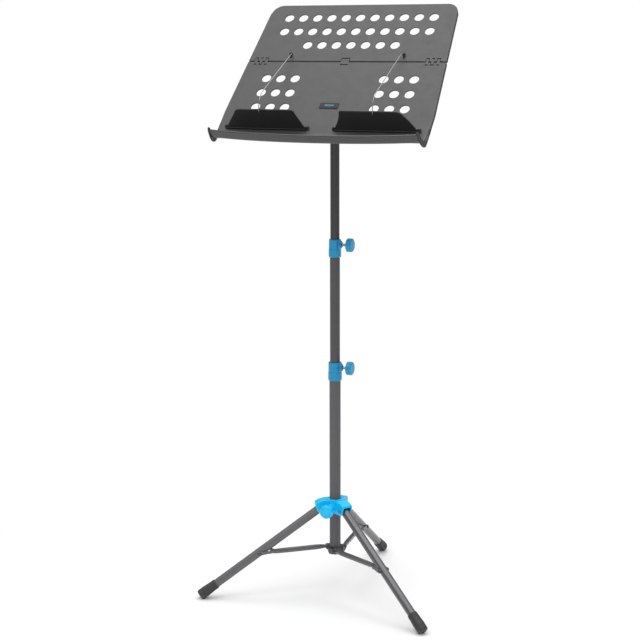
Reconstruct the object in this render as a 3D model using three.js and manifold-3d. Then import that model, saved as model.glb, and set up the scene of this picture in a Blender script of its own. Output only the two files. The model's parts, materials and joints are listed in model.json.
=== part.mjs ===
// Folding music stand: a three-part telescopic mast on a folding tripod carries a perforated two-leaf desk.
// Units are millimetres. +Z is up, the player stands on the -Y side, and X runs along the desk.
// The design frame has the mast axis at X = Y = 0 and the floor at Z = 0. The last lines centre the whole
// object over its own footprint.

import * as THREE from 'three';
import { mergeVertices } from 'three/addons/utils/BufferGeometryUtils.js';
import ManifoldModule from 'manifold-3d';

const manifoldLibrary = await ManifoldModule();
manifoldLibrary.setup();
const { Manifold, Mesh: ManifoldMesh } = manifoldLibrary;

// ---- driving dimensions -------------------------------------------------------------------------------

const GAP = 0.3;                    // running clearance between touching pieces

// mast tubes, outside radius and wall
const LOWER_TUBE_R = 12.5;
const MIDDLE_TUBE_R = 11;
const TOP_TUBE_R = 10;
const TUBE_WALL = 1.1;
const LOWER_TUBE_TOP = 512;
const MIDDLE_TUBE_BOTTOM = 385;
const MIDDLE_TUBE_TOP = 786;
const TOP_TUBE_BOTTOM = 640;
const TOP_TUBE_TOP = 1078;

// clamp collars on the mast
const LOWER_COLLAR = { bottom: 496.7, top: 538, radius: 15.2, screwZ: 526, bossEnd: 18 };
const UPPER_COLLAR = { bottom: 772.8, top: 812, radius: 13.7, screwZ: 800.3, bossEnd: 16.5 };
const BOSS_ROOT_R = 11.6;
const BOSS_FACE_R = 7;
const SCREW_R = 3;
const KNOB_R = 15;
const KNOB_THICKNESS = 12.4;
const COLLAR_KNOB_START = 29.6;

// tripod: leg hinge and brace hinges in the vertical plane of a leg (distance from the mast axis, height)
const LEG_AZIMUTHS = { left: 210, right: 330, rear: 90 };
const LEG_SLOPE = 35.5;             // degrees below horizontal
const LEG_R = 9.5;
const LEG_WALL = 1.2;
const LEG_PIVOT = new THREE.Vector2(34, 202.1);
const LEG_START = -9;
const LEG_END = 328;
const FOOT_START = 290;
const FOOT_END = 335.5;
const FOOT_R = 11.8;
const BRACE_PIVOT = new THREE.Vector2(16, 106.5);
const BRACE_OFFSET = -12.5;         // the braces meet the mast beside it, all on the same hand of their legs
const BRACE_REACH = 170.5;          // distance of the brace rivet from the leg hinge, along the leg

// tripod hub
const HUB_BOTTOM = 193;
const HUB_TOP = 224;
const HUB_SLEEVE_R = 17.5;
const HOOD_HALF_GAP = LEG_R + 0.7;
const HOOD_WALL = 3;
const HUB_SCREW_Z = 206;
const HUB_BOSS_R = 8.8;
const HUB_BOSS_END = 42;

// bottom bracket
const BRACKET_BOTTOM = 92;
const BRACKET_TOP = 111;
const BRACKET_R = 16;

// desk plane: tilt back from vertical and the design-frame position of its origin
const DESK_TILT = 44;
const DESK_ORIGIN = new THREE.Vector3(0, 43.8, 1178.7);
const TILT_PIVOT_Z = 1095;
const PLATE = 3;
const RIM_DEPTH = 7;
const RIM_WALL = 2.6;
const SEAM_V = 18.9;
const SEAM_HALF_GAP = 1.3;
const DESK_TOP_V = 189.9;
const DESK_CORNER_R = 26;
const LOWER_LEAF_BOTTOM_V = -184;
const SEAM_HALF_WIDTH = 231.5;
const SIDE_SLOPE = 0.0636;          // the desk widens downwards by this much per side
const MAX_HALF_WIDTH = 240.8;

// hole pattern
const HOLE_R = 10.8;
const HOLE_PITCH_U = 34.3;
const HOLE_PITCH_V = 41.2;
const HOLE_SEGMENTS = 14;
const UPPER_HOLE_ROWS = [
  { v: 149.95, count: 11 },
  { v: 149.95 - HOLE_PITCH_V, count: 11 },
  { v: 149.95 - 2 * HOLE_PITCH_V, count: 7 },
];
const LOWER_HOLE_TOP_V = -31.2;
const LOWER_HOLE_COLUMNS = [3, 4, 5];

// leaf hinge
const HINGE_W = -5;
const HINGE_GROUP_U = 200.4;
const FINGER_PITCH = 12.4;
const FINGER_HALF = 3.2;
const FINGER_TOP = 8.4;
const FINGER_BOTTOM = 7.2;
const SLOT_WIDTH = 2.6;
const NOTCH_SIDE_GAP = 0.6;
const BARREL_R = 3.2;
const HINGE_PIN_R = 1.4;
const CENTRE_TAB_HALF = 9.4;

// tray
const TRAY_HALF = 237.6;
const TRAY_TAPER = 0.00036;         // share of its width that the tray loses per millimetre out from the desk
const TRAY_WALL = 2.6;
const TRAY_STATIONS = 13;
const EAR_WALL = MAX_HALF_WIDTH - TRAY_HALF;

// page flaps and their wire stays
const FLAP_HINGE = new THREE.Vector2(-172.5, 5.6);      // v, w of the flap hinge
const FLAP_TIP = new THREE.Vector2(-163.5, 50.5);
const FLAP_U = { rootInner: 31, rootOuter: 219, tipInner: 52, tipOuter: 184 };
const FLAP_THICKNESS = 2.4;
const WIRE_U = 128.5;
const WIRE_R = 1.05;
const CLIP_PIVOT = new THREE.Vector2(35.5, 6.6);

// tilt bracket behind the desk
const SOCKET_R = 14;
const SOCKET_BOTTOM = 1050;
const TONGUE_HALF = 7;
const TILT_BOLT_R = 4;
const CHEEK_WALL = 4;
const BRACKET_PLATE = 3;
const PAD = 4;

// ---- materials ----------------------------------------------------------------------------------------

const finish = (color, roughness, metalness) => new THREE.MeshStandardMaterial({ color, roughness, metalness });
const FINISHES = {
  mastLower: finish(0x5c5c5e, 0.42, 0.35),
  mastMiddle: finish(0x525254, 0.42, 0.35),
  mastTop: finish(0x424244, 0.42, 0.35),
  leg: finish(0x6c6c6e, 0.36, 0.4),
  blue: finish(0x1fa3e6, 0.42, 0),
  desk: finish(0x5f5f60, 0.6, 0),
  black: finish(0x17181a, 0.22, 0),
  darkSteel: finish(0x3a3a3c, 0.45, 0.6),
  steel: finish(0xb4b6b8, 0.3, 0.9),
  rubber: finish(0x2c2c2d, 0.75, 0),
  plate: finish(0x26282a, 0.45, 0),
};

// ---- solid helpers ------------------------------------------------------------------------------------

const degrees = (angle) => THREE.MathUtils.degToRad(angle);

function toSolid(geometry) {
  const bare = new THREE.BufferGeometry();
  bare.setAttribute('position', geometry.getAttribute('position').clone());
  if (geometry.index) bare.setIndex(geometry.index.clone());
  const merged = mergeVertices(bare, 1e-5);
  return new Manifold(new ManifoldMesh({
    numProp: 3,
    vertProperties: new Float32Array(merged.getAttribute('position').array),
    triVerts: new Uint32Array(merged.index.array),
  }));
}

function union(...solids) {
  return solids.reduce((total, next) => total.add(next));
}

function place(solid, matrix) {
  return solid.transform(matrix.elements);
}

function moved(solid, x, y, z) {
  return solid.translate([x, y, z]);
}

function block(minX, maxX, minY, maxY, minZ, maxZ) {
  const box = toSolid(new THREE.BoxGeometry(maxX - minX, maxY - minY, maxZ - minZ));
  return moved(box, (minX + maxX) / 2, (minY + maxY) / 2, (minZ + maxZ) / 2);
}

// Cylinder along Z between two heights.
function rod(radius, bottom, top, segments = 24, topRadius = radius) {
  const geometry = new THREE.CylinderGeometry(topRadius, radius, top - bottom, segments);
  geometry.rotateX(Math.PI / 2);
  geometry.translate(0, 0, (top + bottom) / 2);
  return toSolid(geometry);
}

function ring(outer, inner, bottom, top, segments = 24) {
  return rod(outer, bottom, top, segments).subtract(rod(inner, bottom - 1, top + 1, segments));
}

// Lathe about Z from [radius, height] pairs that start and end on the axis.
function turned(profile, segments = 24) {
  const points = profile.map(([radius, height]) => new THREE.Vector2(radius, height));
  const geometry = new THREE.LatheGeometry(points, segments);
  geometry.rotateX(Math.PI / 2);
  return toSolid(geometry);
}

const AXIS_TURNS = {
  x: new THREE.Matrix4().makeRotationY(Math.PI / 2),
  y: new THREE.Matrix4().makeRotationX(-Math.PI / 2),
  z: new THREE.Matrix4(),
  '-y': new THREE.Matrix4().makeRotationX(Math.PI / 2),
};

// Turns a solid that was built along Z so that it runs along another axis, then moves it.
function along(axis, solid, x = 0, y = 0, z = 0) {
  return moved(place(solid, AXIS_TURNS[axis]), x, y, z);
}

// Flat outline extruded from one z to another.
function prism(points, bottom, top) {
  const shape = new THREE.Shape(points.map(([x, y]) => new THREE.Vector2(x, y)));
  return prismOf(shape, bottom, top);
}

function prismOf(shape, bottom, top, curveSegments = 6) {
  const geometry = new THREE.ExtrudeGeometry(shape, { depth: top - bottom, bevelEnabled: false, curveSegments });
  geometry.translate(0, 0, bottom);
  return toSolid(geometry);
}

// Outline given in a vertical plane (first coordinate outwards, second up), extruded sideways about y = 0.
const UPRIGHT = new THREE.Matrix4().makeRotationX(Math.PI / 2);
function uprightPrism(points, minY, maxY) {
  return place(prism(points, -maxY, -minY), UPRIGHT);
}

// Outline given as desk [v, w], extruded along u.
const ALONG_U = new THREE.Matrix4().makeBasis(
  new THREE.Vector3(0, 1, 0),
  new THREE.Vector3(0, 0, 1),
  new THREE.Vector3(1, 0, 0),
);
function deskPrism(points, minU, maxU) {
  return place(prism(points, minU, maxU), ALONG_U);
}

// Rod that follows straight stretches between points, mitred at every bend.
function bentRod(points, radius, segments) {
  const directions = points.slice(1).map((point, i) => point.clone().sub(points[i]).normalize());
  const first = directions[0];
  const side = new THREE.Vector3(0, 0, 1).cross(first).normalize();
  const up = first.clone().cross(side);
  let ringPoints = [];
  for (let j = 0; j < segments; j += 1) {
    const angle = (2 * Math.PI * j) / segments;
    ringPoints.push(points[0].clone()
      .addScaledVector(side, radius * Math.cos(angle))
      .addScaledVector(up, radius * Math.sin(angle)));
  }
  const rings = [ringPoints];
  directions.forEach((direction, i) => {
    const mitre = direction.clone().add(directions[i + 1] ?? direction).normalize();
    ringPoints = ringPoints.map((from) => {
      const reach = points[i + 1].clone().sub(from).dot(mitre) / direction.dot(mitre);
      return from.clone().addScaledVector(direction, reach);
    });
    rings.push(ringPoints);
  });
  return skin(rings.map((ring) => ring.map((point) => point.toArray())), fanOf(segments));
}

// Triangles of a convex ring of corners.
function fanOf(count) {
  return Array.from({ length: count - 2 }, (_, i) => [0, i + 1, i + 2]);
}

// Closed body over rings of points, with the given triangles as its two ends.
function skin(rings, endTriangles) {
  const count = rings[0].length;
  const last = (rings.length - 1) * count;
  const positions = rings.flat(2);
  const index = [];
  for (let i = 0; i + 1 < rings.length; i += 1) {
    for (let j = 0; j < count; j += 1) {
      const a = i * count + j;
      const b = i * count + ((j + 1) % count);
      index.push(a, b, b + count, a, b + count, a + count);
    }
  }
  for (const [p, q, r] of endTriangles) {
    index.push(q, p, r);
    index.push(last + p, last + q, last + r);
  }
  if (volumeOf(positions, index) < 0) {
    for (let i = 0; i < index.length; i += 3) {
      [index[i + 1], index[i + 2]] = [index[i + 2], index[i + 1]];
    }
  }
  const geometry = new THREE.BufferGeometry();
  geometry.setAttribute('position', new THREE.Float32BufferAttribute(positions, 3));
  geometry.setIndex(index);
  return toSolid(geometry);
}

function volumeOf(positions, index) {
  const point = (i) => new THREE.Vector3().fromArray(positions, index[i] * 3);
  let total = 0;
  for (let i = 0; i < index.length; i += 3) {
    total += point(i).dot(point(i + 1).cross(point(i + 2))) / 6;
  }
  return total;
}

const parts = new THREE.Group();
parts.name = 'music_stand';

function add(name, solid, material) {
  const { vertProperties, triVerts, numProp } = solid.getMesh();
  const geometry = new THREE.BufferGeometry();
  const positions = new Float32Array((vertProperties.length / numProp) * 3);
  for (let i = 0; i < positions.length / 3; i += 1) {
    positions.set(vertProperties.subarray(i * numProp, i * numProp + 3), i * 3);
  }
  geometry.setAttribute('position', new THREE.BufferAttribute(positions, 3));
  geometry.setIndex(new THREE.BufferAttribute(new Uint32Array(triVerts), 1));
  geometry.computeVertexNormals();
  const mesh = new THREE.Mesh(geometry, material);
  mesh.name = name;
  parts.add(mesh);
}

// ---- mast ---------------------------------------------------------------------------------------------

const LOWER_TUBE_BOTTOM = BRACKET_BOTTOM + 3 + GAP;
add('lower_tube', ring(LOWER_TUBE_R, LOWER_TUBE_R - TUBE_WALL, LOWER_TUBE_BOTTOM, LOWER_TUBE_TOP, 28),
  FINISHES.mastLower);
add('middle_tube', ring(MIDDLE_TUBE_R, MIDDLE_TUBE_R - 0.7, MIDDLE_TUBE_BOTTOM, MIDDLE_TUBE_TOP, 28),
  FINISHES.mastMiddle);
add('top_tube', ring(TOP_TUBE_R, TOP_TUBE_R - TUBE_WALL, TOP_TUBE_BOTTOM, TOP_TUBE_TOP, 28),
  FINISHES.mastTop);

// Plug pressed in the foot of a sliding tube: a flange under the tube end and a spigot inside it.
function tubePlug(tubeRadius, wall, bottom) {
  const flange = rod(tubeRadius, bottom - 4, bottom - GAP, 20);
  const spigot = rod(tubeRadius - wall - GAP, bottom - 1, bottom + 14, 20);
  return union(flange, spigot);
}
add('middle_tube_plug', tubePlug(MIDDLE_TUBE_R, 0.7, MIDDLE_TUBE_BOTTOM), FINISHES.black);

// Collar: a sleeve over the end of the outer tube, a tighter neck round the inner tube and a screw boss.
function collar({ bottom, top, radius, screwZ, bossEnd }, outerTube, innerTube, outerTubeTop) {
  const body = turned([
    [0, bottom],
    [radius - 1.2, bottom],
    [radius, bottom + 1.7],
    [radius, top - 2],
    [radius - 1, top],
    [0, top],
  ], 28);
  const boss = along('x', turned([
    [0, 6],
    [BOSS_ROOT_R, 6],
    [BOSS_ROOT_R, radius - 3],
    [BOSS_FACE_R, bossEnd],
    [0, bossEnd],
  ], 20), 0, 0, screwZ);
  const solid = union(body, boss);
  const tubeBore = rod(outerTube + GAP, bottom - 1, outerTubeTop + GAP, 28);
  const neckBore = rod(innerTube + GAP, bottom, top + 1, 28);
  const screwBore = along('x', rod(SCREW_R + GAP, innerTube - 2, bossEnd + 1, 12), 0, 0, screwZ);
  return solid.subtract(tubeBore).subtract(neckBore).subtract(screwBore);
}
add('lower_collar', collar(LOWER_COLLAR, LOWER_TUBE_R, MIDDLE_TUBE_R, LOWER_TUBE_TOP), FINISHES.blue);
add('upper_collar', collar(UPPER_COLLAR, MIDDLE_TUBE_R, TOP_TUBE_R, MIDDLE_TUBE_TOP), FINISHES.blue);

// Round grip knob along Z from its inner face at zero, with a blind hole for its screw.
function knob(radius = KNOB_R, thickness = KNOB_THICKNESS) {
  const body = turned([
    [0, 0],
    [radius - 0.9, 0],
    [radius, 0.9],
    [radius, thickness - 1.6],
    [radius - 1.6, thickness],
    [0, thickness],
  ], 20);
  return body.subtract(rod(SCREW_R + GAP, -1, thickness * 0.6, 12));
}
const SCREW_IN_KNOB = KNOB_THICKNESS * 0.6 - GAP;

add('lower_clamp_knob', along('x', knob(), COLLAR_KNOB_START, 0, LOWER_COLLAR.screwZ), FINISHES.blue);
add('lower_clamp_screw',
  along('x', rod(SCREW_R, MIDDLE_TUBE_R + GAP, COLLAR_KNOB_START + SCREW_IN_KNOB, 12), 0, 0, LOWER_COLLAR.screwZ),
  FINISHES.steel);
add('upper_clamp_knob', along('x', knob(), COLLAR_KNOB_START, 0, UPPER_COLLAR.screwZ), FINISHES.blue);
add('upper_clamp_screw',
  along('x', rod(SCREW_R, TOP_TUBE_R + GAP, COLLAR_KNOB_START + SCREW_IN_KNOB, 12), 0, 0, UPPER_COLLAR.screwZ),
  FINISHES.steel);

// ---- tripod -------------------------------------------------------------------------------------------

const turnAboutMast = (azimuth) => new THREE.Matrix4().makeRotationZ(degrees(azimuth));

function hood() {
  const roofTop = [[12, HUB_TOP], [24, HUB_TOP - 0.6], [37, HUB_TOP - 3.8], [45, HUB_TOP - 8.6]];
  const outline = [...roofTop, [46, HUB_TOP - 13], [41.5, HUB_BOTTOM + 4.5], [37.5, HUB_BOTTOM], [12, HUB_BOTTOM]];
  const solid = uprightPrism(outline, -HOOD_HALF_GAP - HOOD_WALL, HOOD_HALF_GAP + HOOD_WALL);
  const slotTop = [[18.5, HUB_TOP - 7], [34, HUB_TOP - 7], [50, HUB_TOP - 15.5]];
  const slot = uprightPrism([...slotTop, [60, HUB_BOTTOM - 5], [18.5, HUB_BOTTOM - 5]], -HOOD_HALF_GAP, HOOD_HALF_GAP);
  const pinHole = along('y', rod(2.5 + GAP, -20, 20, 12), LEG_PIVOT.x, 0, LEG_PIVOT.y);
  return { solid, cut: union(slot, pinHole) };
}

function hub() {
  let solid = rod(HUB_SLEEVE_R, HUB_BOTTOM, HUB_TOP, 28);
  const cuts = [rod(LOWER_TUBE_R + GAP, HUB_BOTTOM - 1, HUB_TOP + 1, 28)];
  for (const azimuth of Object.values(LEG_AZIMUTHS)) {
    const turn = turnAboutMast(azimuth);
    const lobe = hood();
    solid = solid.add(place(lobe.solid, turn));
    cuts.push(place(lobe.cut, turn));
  }
  solid = solid.add(along('-y', rod(HUB_BOSS_R, 10, HUB_BOSS_END, 20), 0, 0, HUB_SCREW_Z));
  cuts.push(along('-y', rod(SCREW_R + GAP, 8, HUB_BOSS_END + 1, 12), 0, 0, HUB_SCREW_Z));
  return cuts.reduce((rest, cut) => rest.subtract(cut), solid);
}
add('tripod_hub', hub(), FINISHES.blue);

const HUB_KNOB_START = HUB_BOSS_END + 1.5;
add('hub_clamp_knob', along('-y', knob(), 0, -HUB_KNOB_START, HUB_SCREW_Z), FINISHES.blue);
add('hub_clamp_screw',
  along('-y', rod(SCREW_R, LOWER_TUBE_R + GAP, HUB_KNOB_START + SCREW_IN_KNOB, 12), 0, 0, HUB_SCREW_Z),
  FINISHES.steel);

// Frame along a leg: x runs down the leg from its hinge, z points up out of it.
const legFrame = new THREE.Matrix4()
  .makeTranslation(LEG_PIVOT.x, 0, LEG_PIVOT.y)
  .multiply(new THREE.Matrix4().makeRotationY(degrees(LEG_SLOPE)));

function leg() {
  const shell = along('x', ring(LEG_R, LEG_R - LEG_WALL, LEG_START, LEG_END, 20));
  const pinHole = along('y', rod(2.5 + GAP, -20, 20, 12));
  return shell.subtract(pinHole);
}

function foot() {
  const body = along('x', turned([
    [0, FOOT_START],
    [LEG_R + 1.2, FOOT_START],
    [LEG_R + 1.4, FOOT_START + 14],
    [FOOT_R, FOOT_END - 9],
    [FOOT_R, FOOT_END - 1.5],
    [FOOT_R - 1.5, FOOT_END],
    [0, FOOT_END],
  ], 20));
  return body.subtract(along('x', rod(LEG_R + GAP, FOOT_START - 1, LEG_END + GAP, 20)));
}

// Pin of a brace, along y: its head stands outside the lug and its tip ends in the wall by the mast.
function bracePin() {
  const headEnd = BRACE_OFFSET - LUG_HALF - GAP;
  const shank = rod(BRACE_PIN_R, headEnd - 0.2, BRACE_PIN_END, 12);
  const head = rod(3.4, headEnd - 1.2, headEnd, 16);
  return along('y', union(shank, head), BRACE_PIVOT.x, 0, BRACE_PIVOT.y);
}

// Headed pin across a leg plane, along y.
function crossPin(shankRadius, headRadius, halfShank, headHeight) {
  const shank = rod(shankRadius, -halfShank - 0.2, halfShank + 0.2, 12);
  const top = rod(headRadius, halfShank, halfShank + headHeight, 16);
  const bottom = rod(headRadius, -halfShank - headHeight, -halfShank, 16);
  return along('y', union(shank, top, bottom));
}

const legPoint = (distance) => new THREE.Vector2(
  LEG_PIVOT.x + distance * Math.cos(degrees(LEG_SLOPE)),
  LEG_PIVOT.y - distance * Math.sin(degrees(LEG_SLOPE)),
);
const braceEnd = legPoint(BRACE_REACH);
const BRACE_LENGTH = braceEnd.distanceTo(BRACE_PIVOT);
const braceFrame = new THREE.Matrix4()
  .makeTranslation(BRACE_PIVOT.x, 0, BRACE_PIVOT.y)
  .multiply(new THREE.Matrix4().makeRotationY(Math.atan2(BRACE_PIVOT.y - braceEnd.y, braceEnd.x - BRACE_PIVOT.x)));

const BRACE_EYE_R = 4.8;
const BRACE_EYE_HALF = 3.4;
const BRACE_NECK_END = 12;
const LUG_HALF = 6.8;
const LUG_SLOT_START = BRACE_PIVOT.x - BRACE_EYE_R - GAP;
const BRACE_HALF_WIDTH = 5;
const BRACE_HALF_HEIGHT = 5.4;
const FORK_DEPTH = 28;
const EAR_INNER = LEG_R + 0.45;
const EAR_OUTER = EAR_INNER + 2.2;
const RIVET_R = 2;
const BRACE_PIN_R = 2;
const BRACE_PIN_END = BRACE_OFFSET + LUG_HALF - 1;

function brace() {
  const eye = along('y', rod(BRACE_EYE_R, -BRACE_EYE_HALF, BRACE_EYE_HALF, 16));
  const neck = block(0, BRACE_NECK_END, -BRACE_EYE_HALF, BRACE_EYE_HALF, -4.4, 4.4);
  const bar = along('x', rod(1, BRACE_NECK_END - 3, BRACE_LENGTH - FORK_DEPTH - 4, 16).scale([
    BRACE_HALF_HEIGHT * 1.06,
    BRACE_HALF_WIDTH * 1.06,
    1,
  ]));
  const forkStart = BRACE_LENGTH - FORK_DEPTH - 6;
  const fork = prism([
    [forkStart, -BRACE_HALF_WIDTH + 0.6],
    [forkStart + 6, -EAR_OUTER],
    [BRACE_LENGTH + 5, -EAR_OUTER],
    [BRACE_LENGTH + 5, -EAR_INNER],
    [forkStart + 8, -EAR_INNER],
    [forkStart + 5, -BRACE_HALF_WIDTH + 1],
    [forkStart + 5, BRACE_HALF_WIDTH - 1],
    [forkStart + 8, EAR_INNER],
    [BRACE_LENGTH + 5, EAR_INNER],
    [BRACE_LENGTH + 5, EAR_OUTER],
    [forkStart + 6, EAR_OUTER],
    [forkStart, BRACE_HALF_WIDTH - 0.6],
  ], -5, 5);
  const pinHole = along('y', rod(BRACE_PIN_R + GAP, -10, 10, 12));
  const rivetHole = along('y', rod(RIVET_R + GAP, -20, 20, 12), BRACE_LENGTH, 0, 0);
  const straight = union(eye, neck, bar, fork).subtract(pinHole).subtract(rivetHole);
  return straight.warp((point) => {
    const share = (forkStart - point[0]) / (forkStart - BRACE_NECK_END);
    point[1] += BRACE_OFFSET * Math.min(1, Math.max(0, share));
  });
}

function braceRivet(side) {
  const shank = rod(RIVET_R, EAR_INNER, EAR_OUTER + 0.6, 12);
  const head = rod(4, EAR_OUTER + GAP, EAR_OUTER + 1.7, 16, 3);
  const rivet = along('y', union(shank, head), 0, 0, 0);
  const sided = side < 0 ? rivet.rotate([180, 0, 0]) : rivet;
  return moved(sided, BRACE_LENGTH, 0, 0);
}

const floorCut = block(-600, 600, -600, 600, -60, 0);

for (const [side, azimuth] of Object.entries(LEG_AZIMUTHS)) {
  const turn = turnAboutMast(azimuth);
  const onLeg = turn.clone().multiply(legFrame);
  const onBrace = turn.clone().multiply(braceFrame);
  const legPin = moved(crossPin(2.5, 4, HOOD_HALF_GAP + HOOD_WALL + GAP, 1.4), LEG_PIVOT.x, 0, LEG_PIVOT.y);
  add(`${side}_leg`, place(leg(), onLeg), FINISHES.leg);
  add(`${side}_foot`, place(foot(), onLeg).subtract(floorCut), FINISHES.rubber);
  add(`${side}_leg_pin`, place(legPin, turn), FINISHES.steel);
  add(`${side}_brace`, place(brace(), onBrace), FINISHES.leg);
  add(`${side}_brace_pin`, place(bracePin(), turn), FINISHES.darkSteel);
  add(`${side}_brace_rivet_a`, place(braceRivet(1), onBrace), FINISHES.darkSteel);
  add(`${side}_brace_rivet_b`, place(braceRivet(-1), onBrace), FINISHES.darkSteel);
}

function bottomBracket() {
  let solid = turned([
    [0, BRACKET_BOTTOM],
    [BRACKET_R - 3, BRACKET_BOTTOM],
    [BRACKET_R + 0.4, BRACKET_BOTTOM + 4],
    [BRACKET_R, BRACKET_BOTTOM + 9],
    [BRACKET_R - 0.4, BRACKET_TOP],
    [0, BRACKET_TOP],
  ], 28);
  const cuts = [rod(LOWER_TUBE_R + GAP, BRACKET_BOTTOM + 3, BRACKET_TOP + 1, 28)];
  for (const azimuth of Object.values(LEG_AZIMUTHS)) {
    const lug = uprightPrism([
      [0, BRACKET_BOTTOM + 4],
      [15, BRACKET_BOTTOM + 5.5],
      [20.6, BRACE_PIVOT.y - 3],
      [20.6, BRACE_PIVOT.y + 3],
      [17, BRACE_PIVOT.y + 4.8],
      [0, BRACE_PIVOT.y + 4.5],
    ], BRACE_OFFSET - LUG_HALF, BRACE_OFFSET + LUG_HALF);
    const slotHalf = BRACE_EYE_HALF + GAP;
    const slot = block(LUG_SLOT_START, 40, BRACE_OFFSET - slotHalf, BRACE_OFFSET + slotHalf, 80, 130);
    const pinHole = along('y', rod(BRACE_PIN_R + GAP, BRACE_OFFSET - 20, BRACE_PIN_END + GAP, 12),
      BRACE_PIVOT.x, 0, BRACE_PIVOT.y);
    const turn = turnAboutMast(azimuth);
    solid = solid.add(place(lug, turn));
    cuts.push(place(union(slot, pinHole), turn));
  }
  return cuts.reduce((rest, cut) => rest.subtract(cut), solid);
}
add('bottom_bracket', bottomBracket(), FINISHES.darkSteel);

// ---- desk ---------------------------------------------------------------------------------------------

// Desk frame: x is u along the desk, y is v up the desk and z is w out of its face towards the player.
const tilt = degrees(DESK_TILT);
const deskFrame = new THREE.Matrix4()
  .makeBasis(
    new THREE.Vector3(1, 0, 0),
    new THREE.Vector3(0, Math.sin(tilt), Math.cos(tilt)),
    new THREE.Vector3(0, -Math.cos(tilt), Math.sin(tilt)),
  )
  .setPosition(DESK_ORIGIN);
const deskInverse = deskFrame.clone().invert();
const tiltPivot = new THREE.Vector3(0, 0, TILT_PIVOT_Z).applyMatrix4(deskInverse);

function addDesk(name, solid, material) {
  add(name, place(solid, deskFrame), material);
}

const halfWidth = (v) => Math.min(MAX_HALF_WIDTH, SEAM_HALF_WIDTH - (v - SEAM_V) * SIDE_SLOPE);

function upperOutline(inset) {
  const bottom = SEAM_V + SEAM_HALF_GAP;
  const top = DESK_TOP_V - inset;
  const radius = DESK_CORNER_R - inset;
  const shape = new THREE.Shape();
  shape.moveTo(-halfWidth(bottom) + inset, bottom);
  shape.lineTo(halfWidth(bottom) - inset, bottom);
  shape.lineTo(halfWidth(top - radius) - inset, top - radius);
  shape.absarc(halfWidth(top) - inset - radius, top - radius, radius, 0, Math.PI / 2);
  shape.absarc(-halfWidth(top) + inset + radius, top - radius, radius, Math.PI / 2, Math.PI);
  shape.lineTo(-halfWidth(bottom) + inset, bottom);
  return shape;
}

function lowerOutline(inset) {
  const top = SEAM_V - SEAM_HALF_GAP;
  const knee = SEAM_V - (MAX_HALF_WIDTH - SEAM_HALF_WIDTH) / SIDE_SLOPE;
  const shape = new THREE.Shape();
  shape.moveTo(-MAX_HALF_WIDTH + inset, LOWER_LEAF_BOTTOM_V);
  shape.lineTo(MAX_HALF_WIDTH - inset, LOWER_LEAF_BOTTOM_V);
  shape.lineTo(MAX_HALF_WIDTH - inset, knee);
  shape.lineTo(halfWidth(top) - inset, top);
  shape.lineTo(-halfWidth(top) + inset, top);
  shape.lineTo(-MAX_HALF_WIDTH + inset, knee);
  return shape;
}

function holes(centres) {
  return centres.map(([u, v]) => moved(rod(HOLE_R, -PLATE - 1, 1, HOLE_SEGMENTS), u, v, 0));
}

// Plate with a rim along every edge but the seam, hollow at the back.
function rimmedPlate(outline, rimMinV, rimMaxV) {
  const plate = prismOf(outline(0), -PLATE, 0);
  const rim = prismOf(outline(0), -RIM_DEPTH, 0).subtract(prismOf(outline(RIM_WALL), -RIM_DEPTH - 1, 1));
  const kept = rim.intersect(block(-400, 400, rimMinV, rimMaxV, -50, 50));
  return plate.add(kept);
}

// Fingers of one leaf that cross the seam, and the barrel under each that turns on the hinge pin.
function fingers(offsets, direction) {
  const solids = [];
  for (const side of [-1, 1]) {
    for (const offset of offsets) {
      const u = side * HINGE_GROUP_U + offset;
      solids.push(block(u - FINGER_HALF, u + FINGER_HALF, SEAM_V - FINGER_BOTTOM, SEAM_V + FINGER_TOP, -PLATE, 0));
      solids.push(along('x', rod(BARREL_R, u - FINGER_HALF, u + FINGER_HALF, 14), 0, SEAM_V, HINGE_W));
      const web = [SEAM_V, SEAM_V - direction * 7].sort((a, b) => a - b);
      solids.push(block(u - FINGER_HALF, u + FINGER_HALF, web[0], web[1], -PLATE - 3.4, -PLATE + 0.5));
    }
  }
  return union(...solids);
}

// Heights of the slots past the ends of the fingers: above the seam, or below it.
function slotSpan(direction) {
  return direction > 0
    ? [SEAM_V + FINGER_TOP, SEAM_V + FINGER_TOP + SLOT_WIDTH]
    : [SEAM_V - FINGER_BOTTOM - SLOT_WIDTH, SEAM_V - FINGER_BOTTOM];
}

// Room for the fingers of the other leaf.
function notches(offsets, direction) {
  const [low, high] = slotSpan(direction);
  const half = FINGER_HALF + NOTCH_SIDE_GAP;
  const centres = [-1, 1].flatMap((side) => offsets.map((offset) => side * HINGE_GROUP_U + offset));
  return union(...centres.map((u) => block(u - half, u + half,
    Math.min(low, SEAM_V), Math.max(high, SEAM_V), -20, 1)));
}

// Slots at the roots of a leaf's own fingers.
function rootSlots(centres, half, direction) {
  const [low, high] = slotSpan(direction);
  return union(...centres.map((u) => block(u - half, u + half, low, high, -20, 1)));
}

const hingeBores = union(...[-1, 1].map((side) => along('x',
  rod(HINGE_PIN_R + GAP, side * HINGE_GROUP_U - 20, side * HINGE_GROUP_U + 20, 12), 0, SEAM_V, HINGE_W)));

const LOWER_FINGERS = [-FINGER_PITCH, FINGER_PITCH];
const UPPER_FINGERS = [0];

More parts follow.
